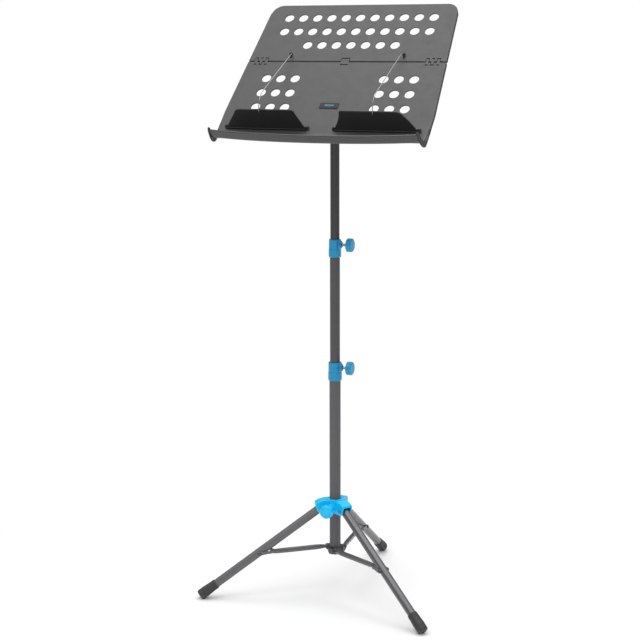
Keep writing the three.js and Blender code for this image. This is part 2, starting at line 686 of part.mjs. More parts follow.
function upperLeaf() {
  const centres = [];
  for (const { v, count } of UPPER_HOLE_ROWS) {
    for (let i = 0; i < count; i += 1) {
      centres.push([(i - (count - 1) / 2) * HOLE_PITCH_U, v]);
    }
  }
  const edge = SEAM_V + SEAM_HALF_GAP;
  let solid = rimmedPlate(upperOutline, edge + 4, 400);
  solid = solid.subtract(notches(LOWER_FINGERS, 1));
  const tabHalf = CENTRE_TAB_HALF + NOTCH_SIDE_GAP;
  solid = solid.subtract(block(-tabHalf, tabHalf, SEAM_V, slotSpan(1)[1], -20, 1));
  solid = solid.add(fingers(UPPER_FINGERS, -1));
  solid = solid.subtract(rootSlots([-HINGE_GROUP_U, HINGE_GROUP_U], FINGER_HALF, 1));
  return [hingeBores, ...holes(centres)].reduce((rest, cut) => rest.subtract(cut), solid);
}
addDesk('upper_leaf', upperLeaf(), FINISHES.desk);

// Tray: lip height and reach change with the square of the distance from the middle.
function traySection(u) {
  const s = (u / 226) ** 2;
  const lipTop = new THREE.Vector2(-231.9 + 14.4 * s, 49.4 - 11.1 * s + 2.7 * s * s);
  const lipFoot = new THREE.Vector2(-235.3 + 17.3 * s, 29.5 - 13.7 * s + 2.6 * s * s);
  const root = new THREE.Vector2(LOWER_LEAF_BOTTOM_V, 0);
  const floorStart = new THREE.Vector2(LOWER_LEAF_BOTTOM_V - 7.5, 1.2);
  const floor = new THREE.Vector2().subVectors(lipFoot, floorStart).normalize();
  const sunk = Math.max(0, (Math.abs(u) - 200) / (TRAY_HALF - 200));
  const floorEnd = lipFoot.clone().addScaledVector(floor, -7).lerp(new THREE.Vector2(-206, 4.5), sunk);
  const inner = [
    [root.x + 0.5, 0],
    [floorStart.x, floorStart.y],
    [floorEnd.x + 0.6, floorEnd.y + 1.0],
    [lipFoot.x + 2.7, lipFoot.y + 1.2],
    [lipTop.x + TRAY_WALL, lipTop.y - 0.6],
    [lipTop.x + TRAY_WALL - 0.7, lipTop.y],
  ];
  const outer = [
    [lipTop.x + 0.4, lipTop.y],
    [lipTop.x - 0.3, lipTop.y - 0.8],
    [lipFoot.x, lipFoot.y + 3],
    [lipFoot.x + 1.2, lipFoot.y - 2.2],
    [floorEnd.x - 1.4, floorEnd.y - 1.9],
    [floorStart.x - 1, floorStart.y - 3.4],
    [root.x + 0.5, -PLATE],
  ];
  return [...inner, ...outer];
}

// Skin over sections that stand at given u, closed with flat ends.
function loft(sectionAt, stations) {
  const rings = stations.map((u) => sectionAt(u).map(([v, w]) => [u, v, w]));
  const flat = rings[0].map(([, v, w]) => new THREE.Vector2(v, w));
  return skin(rings, THREE.ShapeUtils.triangulateShape(flat, []));
}

function tray() {
  const stations = [];
  for (let i = 0; i < TRAY_STATIONS; i += 1) {
    stations.push(TRAY_HALF * (2 * i / (TRAY_STATIONS - 1) - 1));
  }
  const trough = loft(traySection, stations);
  const earOutline = [
    [-165, -RIM_DEPTH],
    [-198, -RIM_DEPTH],
    [-206, -6],
    [-213.5, -2],
    [-217.5, 5],
    [-219.5, 13],
    [-219.5, 22],
    [-218.3, 32],
    [-215.5, 43],
    [-211, 44],
    [-209.8, 40],
    [-209, 30],
    [-208.5, 20],
    [-207.5, 12],
    [-204.5, 5.5],
    [-198.5, 1.5],
    [-190, 0],
    [-165, 0],
  ];
  const ears = [-1, 1].map((side) => {
    const near = side * (TRAY_HALF - 0.4);
    const far = side * (TRAY_HALF + EAR_WALL);
    return deskPrism(earOutline, Math.min(near, far), Math.max(near, far));
  });
  return union(trough, ...ears).warp((point) => {
    point[0] *= 1 - TRAY_TAPER * Math.max(0, point[2]);
  });
}

const SCREW_SPOTS = [[-24, -58], [24, -58], [-24, -122], [24, -122]];

function lowerLeaf() {
  const centres = [];
  for (let row = 0; row < 3; row += 1) {
    for (const column of LOWER_HOLE_COLUMNS) {
      for (const side of [-1, 1]) {
        centres.push([side * column * HOLE_PITCH_U, LOWER_HOLE_TOP_V - row * HOLE_PITCH_V]);
      }
    }
  }
  const edge = SEAM_V - SEAM_HALF_GAP;
  let solid = rimmedPlate(lowerOutline, LOWER_LEAF_BOTTOM_V + 8, edge - 4);
  solid = solid.subtract(notches(UPPER_FINGERS, -1));
  solid = solid.add(fingers(LOWER_FINGERS, 1));
  solid = solid.add(block(-CENTRE_TAB_HALF, CENTRE_TAB_HALF, edge - 1, SEAM_V + FINGER_TOP, -PLATE, 0));
  const roots = [-1, 1].flatMap((side) => LOWER_FINGERS.map((offset) => side * HINGE_GROUP_U + offset));
  solid = solid.subtract(rootSlots(roots, FINGER_HALF, -1));
  solid = solid.subtract(rootSlots([0], CENTRE_TAB_HALF, -1));
  solid = solid.add(tray());
  solid = solid.add(block(-34, 34, -134, -46, -PLATE - PAD, -PLATE + 0.5));
  const screwHoles = SCREW_SPOTS.map(([u, v]) => moved(rod(2 + GAP, -PLATE - PAD - 1, -PLATE - 0.2, 12), u, v, 0));
  return [hingeBores, ...screwHoles, ...holes(centres)].reduce((rest, cut) => rest.subtract(cut), solid);
}
addDesk('lower_leaf', lowerLeaf(), FINISHES.desk);

const sides = [['left', -1], ['right', 1]];

for (const [name, side] of sides) {
  const middle = side * HINGE_GROUP_U;
  addDesk(`${name}_hinge_pin`,
    along('x', rod(HINGE_PIN_R, middle - FINGER_PITCH - FINGER_HALF, middle + FINGER_PITCH + FINGER_HALF, 12),
      0, SEAM_V, HINGE_W), FINISHES.steel);
}

addDesk('nameplate', block(-21.5, 21.5, -115.5, -100.5, GAP, 1.4), FINISHES.plate);

// ---- page flaps, wire stays and clips -----------------------------------------------------------------

const flapDirection = FLAP_TIP.clone().sub(FLAP_HINGE);
const FLAP_LENGTH = flapDirection.length();
const flapFrame = new THREE.Matrix4()
  .makeBasis(
    new THREE.Vector3(1, 0, 0),
    new THREE.Vector3(0, flapDirection.x, flapDirection.y).normalize(),
    new THREE.Vector3(0, -flapDirection.y, flapDirection.x).normalize(),
  )
  .setPosition(0, FLAP_HINGE.x, FLAP_HINGE.y);

function flap(side) {
  const { rootInner, rootOuter, tipInner, tipOuter } = FLAP_U;
  const corner = 7;
  const outline = [
    [rootInner, 0],
    [rootOuter, 0],
    [rootOuter, 3],
    [tipOuter + corner, FLAP_LENGTH - corner],
    [tipOuter + 1.5, FLAP_LENGTH - 1.5],
    [tipOuter - 4, FLAP_LENGTH],
    [tipInner + 4, FLAP_LENGTH],
    [tipInner - 0.5, FLAP_LENGTH - 1.5],
    [tipInner - 3, FLAP_LENGTH - corner],
    [rootInner, 3],
  ];
  const mirrored = side < 0 ? outline.map(([u, y]) => [-u, y]).reverse() : outline;
  const plate = prism(mirrored, -FLAP_THICKNESS / 2, FLAP_THICKNESS / 2);
  const from = Math.min(side * rootInner, side * rootOuter);
  const barrel = along('x', rod(3.4, from, from + rootOuter - rootInner, 14));
  const bore = along('x', rod(1.5 + GAP, from - 1, from + rootOuter - rootInner + 1, 12));
  return place(union(plate, barrel).subtract(bore), flapFrame);
}

// Strip on the desk face with an upright lug at each end for the flap pin.
function flapBase(side) {
  const inner = FLAP_U.rootInner - 0.6;
  const outer = FLAP_U.rootOuter + 0.6;
  const wall = 3;
  const span = (a, b) => [Math.min(side * a, side * b), Math.max(side * a, side * b)];
  const v = FLAP_HINGE.x;
  const [stripMin, stripMax] = span(inner - wall, outer + wall);
  const strip = block(stripMin, stripMax, v - 5.5, v + 5, GAP, 1.8);
  const lugs = [[inner - wall, inner], [outer, outer + wall]].map(([a, b]) => {
    const [from, to] = span(a, b);
    return deskPrism([
      [v - 5.5, GAP],
      [v + 5, GAP],
      [v + 4, FLAP_HINGE.y + 1],
      [v + 2, FLAP_HINGE.y + 3.4],
      [v - 2, FLAP_HINGE.y + 3.4],
      [v - 4, FLAP_HINGE.y + 1],
    ], from, to);
  });
  const bore = along('x', rod(1.5 + GAP, stripMin - 1, stripMax + 1, 12), 0, v, FLAP_HINGE.y);
  return union(strip, ...lugs).subtract(bore);
}

function flapPin(side) {
  const near = side * (FLAP_U.rootInner - 3.6);
  const far = side * (FLAP_U.rootOuter + 3.6);
  return along('x', rod(1.5, Math.min(near, far), Math.max(near, far), 12), 0, FLAP_HINGE.x, FLAP_HINGE.y);
}

// Wire stay: a short journal in the clip, a straight arm and a hook under the flap tip.
function wire(side) {
  const u = side * WIRE_U;
  const { x: v, y: w } = CLIP_PIVOT;
  const route = [
    [u + side * 6, v, w],
    [u, v, w],
    [u, v - 11.5, w + 5.2],
    [u, -113, 59],
    [u, -133, 65.6],
    [u, -151.5, 63.4],
    [u, -163, 55],
    [u, -168.6, 50.6],
    [u, -170.2, 45.5],
  ].map(([x, y, z]) => new THREE.Vector3(x, y, z));
  return bentRod(route, WIRE_R, 8);
}

function clip(side) {
  const u = side * WIRE_U;
  const { x: v, y: w } = CLIP_PIVOT;
  const base = block(u - 6, u + 6, v - 5, v + 7, GAP, 2);
  const cheek = deskPrism([
    [v - 4, GAP],
    [v + 6, GAP],
    [v + 3, w + 2],
    [v + 1, w + 3.2],
    [v - 1.5, w + 3.2],
    [v - 3.4, w + 1],
  ], side > 0 ? u + 2.2 : u - 5.4, side > 0 ? u + 5.4 : u - 2.2);
  const bore = along('x', rod(WIRE_R + GAP, u - 10, u + 10, 12), 0, v, w);
  return union(base, cheek).subtract(bore);
}

for (const [name, side] of sides) {
  addDesk(`${name}_flap`, flap(side), FINISHES.black);
  addDesk(`${name}_flap_base`, flapBase(side), FINISHES.black);
  addDesk(`${name}_flap_pin`, flapPin(side), FINISHES.steel);
  addDesk(`${name}_wire_stay`, wire(side), FINISHES.steel);
  addDesk(`${name}_wire_clip`, clip(side), FINISHES.black);
}

// ---- tilt bracket -------------------------------------------------------------------------------------

const SOCKET_SCREW_Z = 1064;
const SOCKET_BOSS_END = 20;
const SOCKET_KNOB_START = 21.5;
const SOCKET_KNOB_R = 9;
const SOCKET_KNOB_THICKNESS = 9;

function tiltSocket() {
  const sleeve = rod(SOCKET_R, SOCKET_BOTTOM, TOP_TUBE_TOP + 4, 24);
  const boss = along('y', rod(7, 8, SOCKET_BOSS_END, 16), 0, 0, SOCKET_SCREW_Z);
  const tongueRound = along('x', rod(10, -TONGUE_HALF, TONGUE_HALF, 20), 0, 0, TILT_PIVOT_Z);
  const tongueFoot = block(-TONGUE_HALF, TONGUE_HALF, -10, 10, TOP_TUBE_TOP + 1, TILT_PIVOT_Z);
  const tubeBore = rod(TOP_TUBE_R + GAP, SOCKET_BOTTOM - 1, TOP_TUBE_TOP + GAP, 24);
  const screwBore = along('y', rod(SCREW_R + GAP, 6, SOCKET_BOSS_END + 1, 12), 0, 0, SOCKET_SCREW_Z);
  const boltBore = along('x', rod(TILT_BOLT_R + GAP, -20, 20, 16), 0, 0, TILT_PIVOT_Z);
  return union(sleeve, boss, tongueRound, tongueFoot).subtract(tubeBore).subtract(screwBore).subtract(boltBore);
}
add('tilt_socket', tiltSocket(), FINISHES.black);

add('socket_knob',
  along('y', knob(SOCKET_KNOB_R, SOCKET_KNOB_THICKNESS), 0, SOCKET_KNOB_START, SOCKET_SCREW_Z), FINISHES.black);
add('socket_screw',
  along('y', rod(SCREW_R, TOP_TUBE_R + GAP, SOCKET_KNOB_START + SOCKET_KNOB_THICKNESS * 0.6 - GAP, 12),
    0, 0, SOCKET_SCREW_Z), FINISHES.steel);

// Yoke: a plate on the back of the lower leaf with two cheeks that hold the tilt bolt.
const yokeFront = -PLATE - PAD - GAP;
function tiltYoke() {
  const { y: v, z: w } = tiltPivot;
  const plate = block(-34, 34, -134, -46, yokeFront - BRACKET_PLATE, yokeFront);
  const inner = TONGUE_HALF + GAP;
  const outer = inner + CHEEK_WALL;
  const cheekOutline = [
    [v - 12.5, yokeFront - 1],
    [v + 26, yokeFront - 1],
    [v + 24, yokeFront - BRACKET_PLATE - 2],
    [v + 9, w - 3],
    [v + 5, w - 8],
    [v - 5, w - 8],
    [v - 9, w - 3],
    [v - 9, w + 5],
    [v - 12.5, yokeFront - BRACKET_PLATE - 1],
  ];
  const cheeks = [deskPrism(cheekOutline, inner, outer), deskPrism(cheekOutline, -outer, -inner)];
  const boltBore = along('x', rod(TILT_BOLT_R + GAP, -30, 30, 16), 0, v, w);
  const screwHoles = SCREW_SPOTS.map(([u, sv]) => moved(rod(2 + GAP, yokeFront - 10, yokeFront + 1, 12), u, sv, 0));
  return [boltBore, ...screwHoles].reduce((rest, cut) => rest.subtract(cut), union(plate, ...cheeks));
}
addDesk('tilt_yoke', tiltYoke(), FINISHES.darkSteel);

SCREW_SPOTS.forEach(([u, v], i) => {
  const headTop = yokeFront - BRACKET_PLATE - GAP;
  const shank = rod(2, headTop - 0.5, -PLATE - 0.2 - GAP, 12);
  const head = rod(3, headTop - 2.4, headTop, 14, 4);
  addDesk(`yoke_screw_${i + 1}`, moved(union(shank, head), u, v, 0), FINISHES.steel);
});

const CHEEK_OUTER = TONGUE_HALF + GAP + CHEEK_WALL;
const BOLT_END = CHEEK_OUTER + 9;
function tiltBolt() {
  const shank = rod(TILT_BOLT_R, -CHEEK_OUTER - 1, BOLT_END, 16);
  const head = rod(7, -CHEEK_OUTER - 5, -CHEEK_OUTER - GAP, 6);
  return along('x', union(shank, head), 0, 0, TILT_PIVOT_Z);
}
add('tilt_bolt', tiltBolt(), FINISHES.steel);

function tiltKnob() {
  const body = turned([
    [0, 0],
    [8, 0],
    [12, 3],
    [12, 9],
    [10, 12],
    [0, 12],
  ], 20);
  return body.subtract(rod(TILT_BOLT_R + GAP, -1, BOLT_END - CHEEK_OUTER, 16));
}
add('tilt_knob', along('x', tiltKnob(), CHEEK_OUTER + GAP, 0, TILT_PIVOT_Z), FINISHES.black);

// ---- row frame ----------------------------------------------------------------------------------------

const bounds = new THREE.Box3().setFromObject(parts);
const stand = new THREE.Group();
stand.name = 'music_stand_row';
parts.position.set(-(bounds.min.x + bounds.max.x) / 2, -(bounds.min.y + bounds.max.y) / 2, -bounds.min.z);
stand.add(parts);
stand.updateMatrixWorld(true);

export default stand;
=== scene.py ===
"""Folding music stand: finely modelled pieces, finishes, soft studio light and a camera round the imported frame.

Shapes are written in millimetres in the frame of the part they belong to (mast, leg, brace or desk) and are
placed by a matrix that also turns them into metres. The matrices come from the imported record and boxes.
"""

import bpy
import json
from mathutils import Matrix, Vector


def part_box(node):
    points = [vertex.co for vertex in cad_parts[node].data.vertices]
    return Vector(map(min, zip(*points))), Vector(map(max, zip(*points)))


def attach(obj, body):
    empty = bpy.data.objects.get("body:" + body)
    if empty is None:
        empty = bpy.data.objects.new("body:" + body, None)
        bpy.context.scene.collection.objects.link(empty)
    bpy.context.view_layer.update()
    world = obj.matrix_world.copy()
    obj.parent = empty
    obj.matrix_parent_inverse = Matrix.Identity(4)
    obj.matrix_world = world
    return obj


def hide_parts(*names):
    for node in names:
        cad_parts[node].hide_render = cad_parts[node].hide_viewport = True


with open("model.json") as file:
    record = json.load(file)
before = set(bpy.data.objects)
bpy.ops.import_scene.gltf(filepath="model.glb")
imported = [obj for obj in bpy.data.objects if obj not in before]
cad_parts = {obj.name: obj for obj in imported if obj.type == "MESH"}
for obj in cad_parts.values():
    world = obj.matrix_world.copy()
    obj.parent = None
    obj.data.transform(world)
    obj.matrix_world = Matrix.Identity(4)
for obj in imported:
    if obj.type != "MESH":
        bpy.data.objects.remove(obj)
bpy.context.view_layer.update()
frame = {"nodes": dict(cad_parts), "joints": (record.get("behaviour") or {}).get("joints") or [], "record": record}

import json
import math

import bmesh
import bpy
from mathutils import Matrix, Vector
from mathutils.geometry import tessellate_polygon

PI = math.pi
MM = 0.001

# ---- frames ----

record = frame["record"]
JOINTS = {joint["name"]: joint for joint in frame["joints"]}
BODY_OF = {node: body for body, nodes in record["behaviour"]["bodies"].items() for node in nodes}
SLOT_OF = {part["node"]: part["material_slot"] for part in record["subparts"]}
TO_METRES = Matrix.Scale(MM, 4)

tube_low, tube_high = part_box("lower_tube")
AXIS = Vector(((tube_low.x + tube_high.x) / 2, (tube_low.y + tube_high.y) / 2, 0))
MAST = Matrix.Translation(AXIS) @ TO_METRES

face = next(mount for mount in record["mounts"] if mount["name"] == "desk_face")
W_AXIS = Vector(face["axis"]).normalized()
U_AXIS = Vector((1, 0, 0))
V_AXIS = W_AXIS.cross(U_AXIS)
SEAM_V = 18.9
HINGE_W = -5.0
desk_origin = Vector(JOINTS["leaf_fold"]["pos_m"]) - V_AXIS * SEAM_V * MM - W_AXIS * HINGE_W * MM
DESK = Matrix.Translation(desk_origin) @ Matrix((U_AXIS, V_AXIS, W_AXIS)).transposed().to_4x4() @ TO_METRES

LEG_SLOPE = math.radians(35.5)
BRACE_REACH = 170.5
LEG_PIVOT = Vector((34, 202.1))
BRACE_PIVOT = Vector((16, 106.5))
BRACE_OFFSET = -12.5
brace_end = LEG_PIVOT + Vector((math.cos(LEG_SLOPE), -math.sin(LEG_SLOPE))) * BRACE_REACH
BRACE_LENGTH = (brace_end - BRACE_PIVOT).length
BRACE_DROP = math.atan2(BRACE_PIVOT.y - brace_end.y, brace_end.x - BRACE_PIVOT.x)


SIDES = ("left", "right", "rear")


def leg_plane(side):
    """Turn about the mast that brings +X into the plane of a leg."""
    out = Vector(JOINTS[f"{side}_leg_fold"]["pos_m"]) - AXIS
    return Matrix.Rotation(math.atan2(out.y, out.x), 4, "Z")


def leg_frame(side):
    start = Vector(JOINTS[f"{side}_leg_fold"]["pos_m"])
    return Matrix.Translation(start) @ leg_plane(side) @ Matrix.Rotation(LEG_SLOPE, 4, "Y") @ TO_METRES


def brace_frame(side):
    start = Vector(JOINTS[f"{side}_brace_fold"]["pos_m"])
    aside = shift(0, -BRACE_OFFSET * MM)
    return Matrix.Translation(start) @ leg_plane(side) @ aside @ Matrix.Rotation(BRACE_DROP, 4, "Y") @ TO_METRES


ALONG_X = Matrix.Rotation(PI / 2, 4, "Y")
ALONG_Y = Matrix.Rotation(-PI / 2, 4, "X")
ALONG_MINUS_Y = Matrix.Rotation(PI / 2, 4, "X")
UPRIGHT = ALONG_MINUS_Y         # [x, z] outline extruded along -y
SECTION = Matrix(((0, 0, 1), (1, 0, 0), (0, 1, 0))).to_4x4()     # [v, w] outline extruded along u


def shift(x=0, y=0, z=0):
    return Matrix.Translation((x, y, z))


# ---- outlines ----


def fillet(points, radius, steps=4, closed=True):
    """Round the corners of a run of points, flat or in space. A radius may be one number or one for each point."""
    points = [Vector(point) for point in points]
    out = []
    for i, point in enumerate(points):
        r = radius[i] if hasattr(radius, "__len__") else radius
        if r <= 0 or (not closed and i in (0, len(points) - 1)):
            out.append(point)
            continue
        back = points[i - 1] - point
        ahead = points[(i + 1) % len(points)] - point
        half = back.angle(ahead) / 2
        if half > PI / 2 - 0.03:
            out.append(point)
            continue
        cut = min(r / math.tan(half), 0.48 * back.length, 0.48 * ahead.length)
        bisector = (back.normalized() + ahead.normalized()).normalized()
        centre = point + bisector * (cut / math.cos(half))
        start = point + back.normalized() * cut - centre
        end = point + ahead.normalized() * cut - centre
        for k in range(steps + 1):
            out.append(centre + start.lerp(end, k / steps).normalized() * start.length)
    return out


def clockwise(outline):
    return sum(a.x * b.y - b.x * a.y for a, b in zip(outline, outline[1:] + outline[:1])) < 0


def wound(outline):
    """The outline, counter-clockwise."""
    return outline[::-1] if clockwise(outline) else outline


def inset(outline, distance):
    """Counter-clockwise outline moved inwards, mitred. One distance, or one for each corner."""
    out = []
    for i, point in enumerate(outline):
        before = (point - outline[i - 1]).normalized()
        after = (outline[(i + 1) % len(outline)] - point).normalized()
        normal = Vector((-before.y, before.x))
        mitre = normal + Vector((-after.y, after.x))
        d = distance[i] if hasattr(distance, "__len__") else distance
        out.append(point + mitre * (d / max(0.4, mitre.dot(normal))))
    return out


def circle(radius, segments, u=0, v=0):
    return [Vector((u + radius * math.cos(2 * PI * k / segments), v + radius * math.sin(2 * PI * k / segments)))
            for k in range(segments)]


def box_outline(u0, u1, v0, v1, radius=0.6, steps=3):
    return fillet([(u0, v0), (u1, v0), (u1, v1), (u0, v1)], radius, steps)


# ---- closed shells: (vertices, faces, finish number) ----


def placed(shell, matrix):
    return ([matrix @ vertex for vertex in shell[0]], shell[1], shell[2])


def loft(rings, finish=0):
    """Skin over rings of points, with an end face on the first and the last."""
    count = len(rings[0])
    vertices = [Vector(point) for ring in rings for point in ring]
    last = (len(rings) - 1) * count
    faces = []
    for start in range(0, last, count):
        for k in range(count):
            l = (k + 1) % count
            faces.append((start + k, start + l, start + count + l, start + count + k))
    faces.append(tuple(range(count)))
    faces.append(tuple(range(last, last + count)))
    return (vertices, faces, finish)


def lathe(profile, segments=72, shape=None, finish=0):
    """Body about z from [radius, height] pairs: solid if it starts and ends on the axis, a ring if not."""
    solid = profile[0][0] < 1e-6 and profile[-1][0] < 1e-6
    vertices, rows = [], []
    for radius, height in profile:
        if radius < 1e-6:
            rows.append([len(vertices)] * segments)
            vertices.append(Vector((0, 0, height)))
            continue
        rows.append(list(range(len(vertices), len(vertices) + segments)))
        for k in range(segments):
            angle = 2 * PI * k / segments
            r = shape(radius, height, angle) if shape else radius
            vertices.append(Vector((r * math.cos(angle), r * math.sin(angle), height)))
    faces = []
    for a, b in zip(rows, rows[1:] if solid else rows[1:] + rows[:1]):
        for k in range(segments):
            l = (k + 1) % segments
            corners = list(dict.fromkeys((a[k], a[l], b[l], b[k])))
            if len(corners) > 2:
                faces.append(tuple(corners))
    return (vertices, faces, finish)


def turned(profile, radius=0.5, segments=72, shape=None, finish=0, steps=3):
    """Solid lathe with the corners of its profile rounded."""
    return lathe(fillet(profile, radius, steps, closed=False), segments, shape, finish)


def tube(outer, inner, low, high, edge=0.3, segments=72):
    profile = [(inner, low), (outer, low), (outer, high), (inner, high)]
    return lathe(fillet(profile, edge, 2), segments)


def prism(outline, low, high, edge=0.5, steps=2, finish=0):
    """Outline extruded along z with rounded rims."""
    outline = wound([Vector(point) for point in outline])
    turns = [PI / 2 * k / steps for k in range(steps + 1)]
    rims = [(edge * (1 - math.sin(turn)), low + edge * (1 - math.cos(turn))) for turn in turns]
    rims += [(distance, low + high - height) for distance, height in reversed(rims)]
    return loft([[(*point, height) for point in inset(outline, distance)] for distance, height in rims], finish)


def sweep(points, radius, segments=16, finish=0):
    """Round wire along points in space."""
    points = [Vector(point) for point in points]
    tangents = []
    for i in range(len(points)):
        tangents.append((points[min(i + 1, len(points) - 1)] - points[max(i - 1, 0)]).normalized())
    side = tangents[0].orthogonal().normalized()
    rings = []
    ends = {0: 0.6, len(points) - 1: 0.6}
    for i, (point, tangent) in enumerate(zip(points, tangents)):
        side = (side - tangent * side.dot(tangent)).normalized()
        up = tangent.cross(side)
        r = radius * ends.get(i, 1)
        ring = [point + (side * math.cos(2 * PI * k / segments) + up * math.sin(2 * PI * k / segments)) * r
                for k in range(segments)]
        if i == len(points) - 1:
            rings.append([p + (p - point) * (1 / 0.6 - 1) - tangent * radius * 0.35 for p in ring])
        rings.append(ring)
        if i == 0:
            rings.append([p + (p - point) * (1 / 0.6 - 1) + tangent * radius * 0.35 for p in ring])
    return loft(rings, finish)


def sheet_with_holes(outline, holes, rims, wall_shade_finish):
    """Moulded plate. rims are rings of (inset for each corner, height for each corner) round the outline, from the
    front face to the back face; each hole is an outline with (widening, height) pairs down its wall. Walls take
    the last argument's finish, which is painted shade."""
    rings = [[Vector((*p, h)) for p, h in zip(inset(outline, distances), heights)] for distances, heights in rims]
    vertices, faces, finishes = [], [], []

    def add_ring(ring):
        vertices.extend(ring)
        return list(range(len(vertices) - len(ring), len(vertices)))

    def join(a, b, finish):
        for k in range(len(a)):
            l = (k + 1) % len(a)
            faces.append((a[k], a[l], b[l], b[k]))
            finishes.append(finish)

    runs = [[add_ring(ring) for ring in rings]]
    for hole, hole_rims in holes:
        runs.append([add_ring([Vector((*p, height)) for p in inset(hole, -wider)]) for wider, height in hole_rims])
    for run in runs:
        for a, b in zip(run, run[1:]):
            join(a, b, wall_shade_finish)
    for end in (0, -1):
        loops = [run[end] for run in runs]
        flat = [[Vector((vertices[i].x, vertices[i].y, 0)) for i in loop] for loop in loops]
        order = [i for loop in loops for i in loop]
        for triangle in tessellate_polygon(flat):
            faces.append(tuple(order[i] for i in triangle))
            finishes.append(0)
    return (vertices, faces, finishes)


# ---- finishes ----


def srgb(code):
    channels = [(code >> offset & 255) / 255 for offset in (16, 8, 0)]
    return tuple(c / 12.92 if c < 0.04045 else ((c + 0.055) / 1.055) ** 2.4 for c in channels) + (1,)


NOISE_ROUGHNESS = 0.55
COAT_ROUGHNESS = 0.12


class Finish:
    """Node material with a principled shader. Textures use the row frame in metres, so they stay on their piece."""

    def __init__(self, name, color, roughness, metallic=0.0, coat=0.0, specular=0.5):
        self.material = bpy.data.materials.new(name)
        self.material.use_nodes = True
        self.nodes = self.material.node_tree.nodes
        self.links = self.material.node_tree.links
        self.shader = self.nodes["Principled BSDF"]
        self.color = srgb(color)
        for name, value in (("Base Color", self.color), ("Roughness", roughness), ("Metallic", metallic),
                            ("Specular IOR Level", specular), ("Coat Weight", coat),
                            ("Coat Roughness", COAT_ROUGHNESS)):
            self.shader.inputs[name].default_value = value
        self.roughness = roughness
        self.place = self.nodes.new("ShaderNodeTexCoord").outputs["Object"]
        self.color_socket = None
        self.normal_socket = None

    def noise(self, scale, detail=3.0, stretch=None):
        node = self.nodes.new("ShaderNodeTexNoise")
        for name, value in (("Scale", scale), ("Detail", detail), ("Roughness", NOISE_ROUGHNESS)):
            node.inputs[name].default_value = value
        place = self.place
        if stretch:
            mapping = self.nodes.new("ShaderNodeMapping")
            mapping.inputs["Scale"].default_value = stretch
            self.links.new(place, mapping.inputs["Vector"])
            place = mapping.outputs["Vector"]
        self.links.new(place, node.inputs["Vector"])
        return node.outputs["Fac"]

    def between(self, value, low, high, to_low=0.0, to_high=1.0):
        node = self.nodes.new("ShaderNodeMapRange")
        for name, number in (("From Min", low), ("From Max", high), ("To Min", to_low), ("To Max", to_high)):
            node.inputs[name].default_value = number
        self.links.new(value, node.inputs["Value"])
        return node.outputs["Result"]

    def times(self, a, b):
        node = self.nodes.new("ShaderNodeMath")
        node.operation = "MULTIPLY"
        self.links.new(a, node.inputs[0])
        self.links.new(b, node.inputs[1])
        return node.outputs[0]

    def tint(self, mask, color):
        """Blend the base colour towards another where the mask is high."""
        node = self.nodes.new("ShaderNodeMix")
        node.data_type = "RGBA"
        if self.color_socket is None:
            node.inputs["A"].default_value = self.color
        else:
            self.links.new(self.color_socket, node.inputs["A"])
        node.inputs["B"].default_value = color
        self.links.new(mask, node.inputs["Factor"])
        self.color_socket = node.outputs["Result"]
        self.links.new(self.color_socket, self.shader.inputs["Base Color"])

    def scaled(self, factor):
        return tuple(min(1, c * factor) for c in self.color[:3]) + (1,)

    def mottle(self, scale, amount):
        """Slow change of tone across the surface."""
        value = self.noise(scale, 2)
        self.tint(self.between(value, 0.35, 0.65), self.scaled(1 + amount))

    def relief(self, height, distance, strength=1.0):
        """Bump, stacked on any bump before it."""
        node = self.nodes.new("ShaderNodeBump")
        node.inputs["Distance"].default_value = distance * MM
        node.inputs["Strength"].default_value = strength
        self.links.new(height, node.inputs["Height"])
        if self.normal_socket is not None:
            self.links.new(self.normal_socket, node.inputs["Normal"])
        self.normal_socket = node.outputs["Normal"]
        self.links.new(self.normal_socket, self.shader.inputs["Normal"])

    def polish(self, scale, spread, stretch=None):
        """Roughness that wanders by the spread each way."""
        value = self.between(self.noise(scale, 4, stretch), 0.3, 0.7,
                             self.roughness - spread, self.roughness + spread)
        self.links.new(value, self.shader.inputs["Roughness"])

    def edge_wear(self, color, low=0.53, high=0.6, amount=0.5):
        """Paler rubbed edges, broken up by noise."""
        sharp = self.between(self.nodes.new("ShaderNodeNewGeometry").outputs["Pointiness"], low, high)
        patches = self.between(self.noise(180, 4), 0.38, 0.62, 0, amount)
        self.tint(self.times(sharp, patches), color)

    def scratches(self, scale, stretch, color, amount):
        lines = self.between(self.noise(scale, 2, stretch), 0.66, 0.74, 0, amount)
        self.tint(lines, color)


def moulded(name, color, roughness, grain, depth, wear):
    finish = Finish(name, color, roughness)
    finish.mottle(14, 0.06)
    finish.polish(60, 0.05)
    finish.relief(finish.noise(grain, 3), depth, 0.5)
    finish.edge_wear(finish.scaled(1 + wear))
    return finish.material


def tube_paint(name, color, roughness, coat, metallic=0.1, specular=0.25, lines=0.25):
    finish = Finish(name, color, roughness, metallic=metallic, coat=coat, specular=specular)
    finish.mottle(9, 0.05)
    finish.polish(40, 0.05, (1, 1, 0.08))
    finish.relief(finish.noise(420, 2), 0.006, 0.3)
    finish.scratches(900, (1, 1, 0.02), finish.scaled(1.5), lines)
    finish.edge_wear(srgb(0x9A9A9A), 0.54, 0.62, 0.5)
    return finish.material


def metal(name, color, roughness):
    finish = Finish(name, color, roughness, metallic=1.0)
    finish.mottle(120, 0.12)
    finish.polish(600, 0.1)
    finish.relief(finish.noise(2500, 3), 0.01, 0.5)
    finish.edge_wear(finish.scaled(1.3))
    return finish.material


def gloss_black_and_shade():
    finish = Finish("black_gloss_and_painted_shade", 0x252527, 0.34, coat=0.35)
    finish.mottle(30, 0.12)
    finish.polish(40, 0.04)
    finish.relief(finish.noise(90, 2), 0.004, 0.15)
    finish.scratches(260, (0.06, 1, 1), srgb(0x3C3C3E), 0.25)
    return finish.material


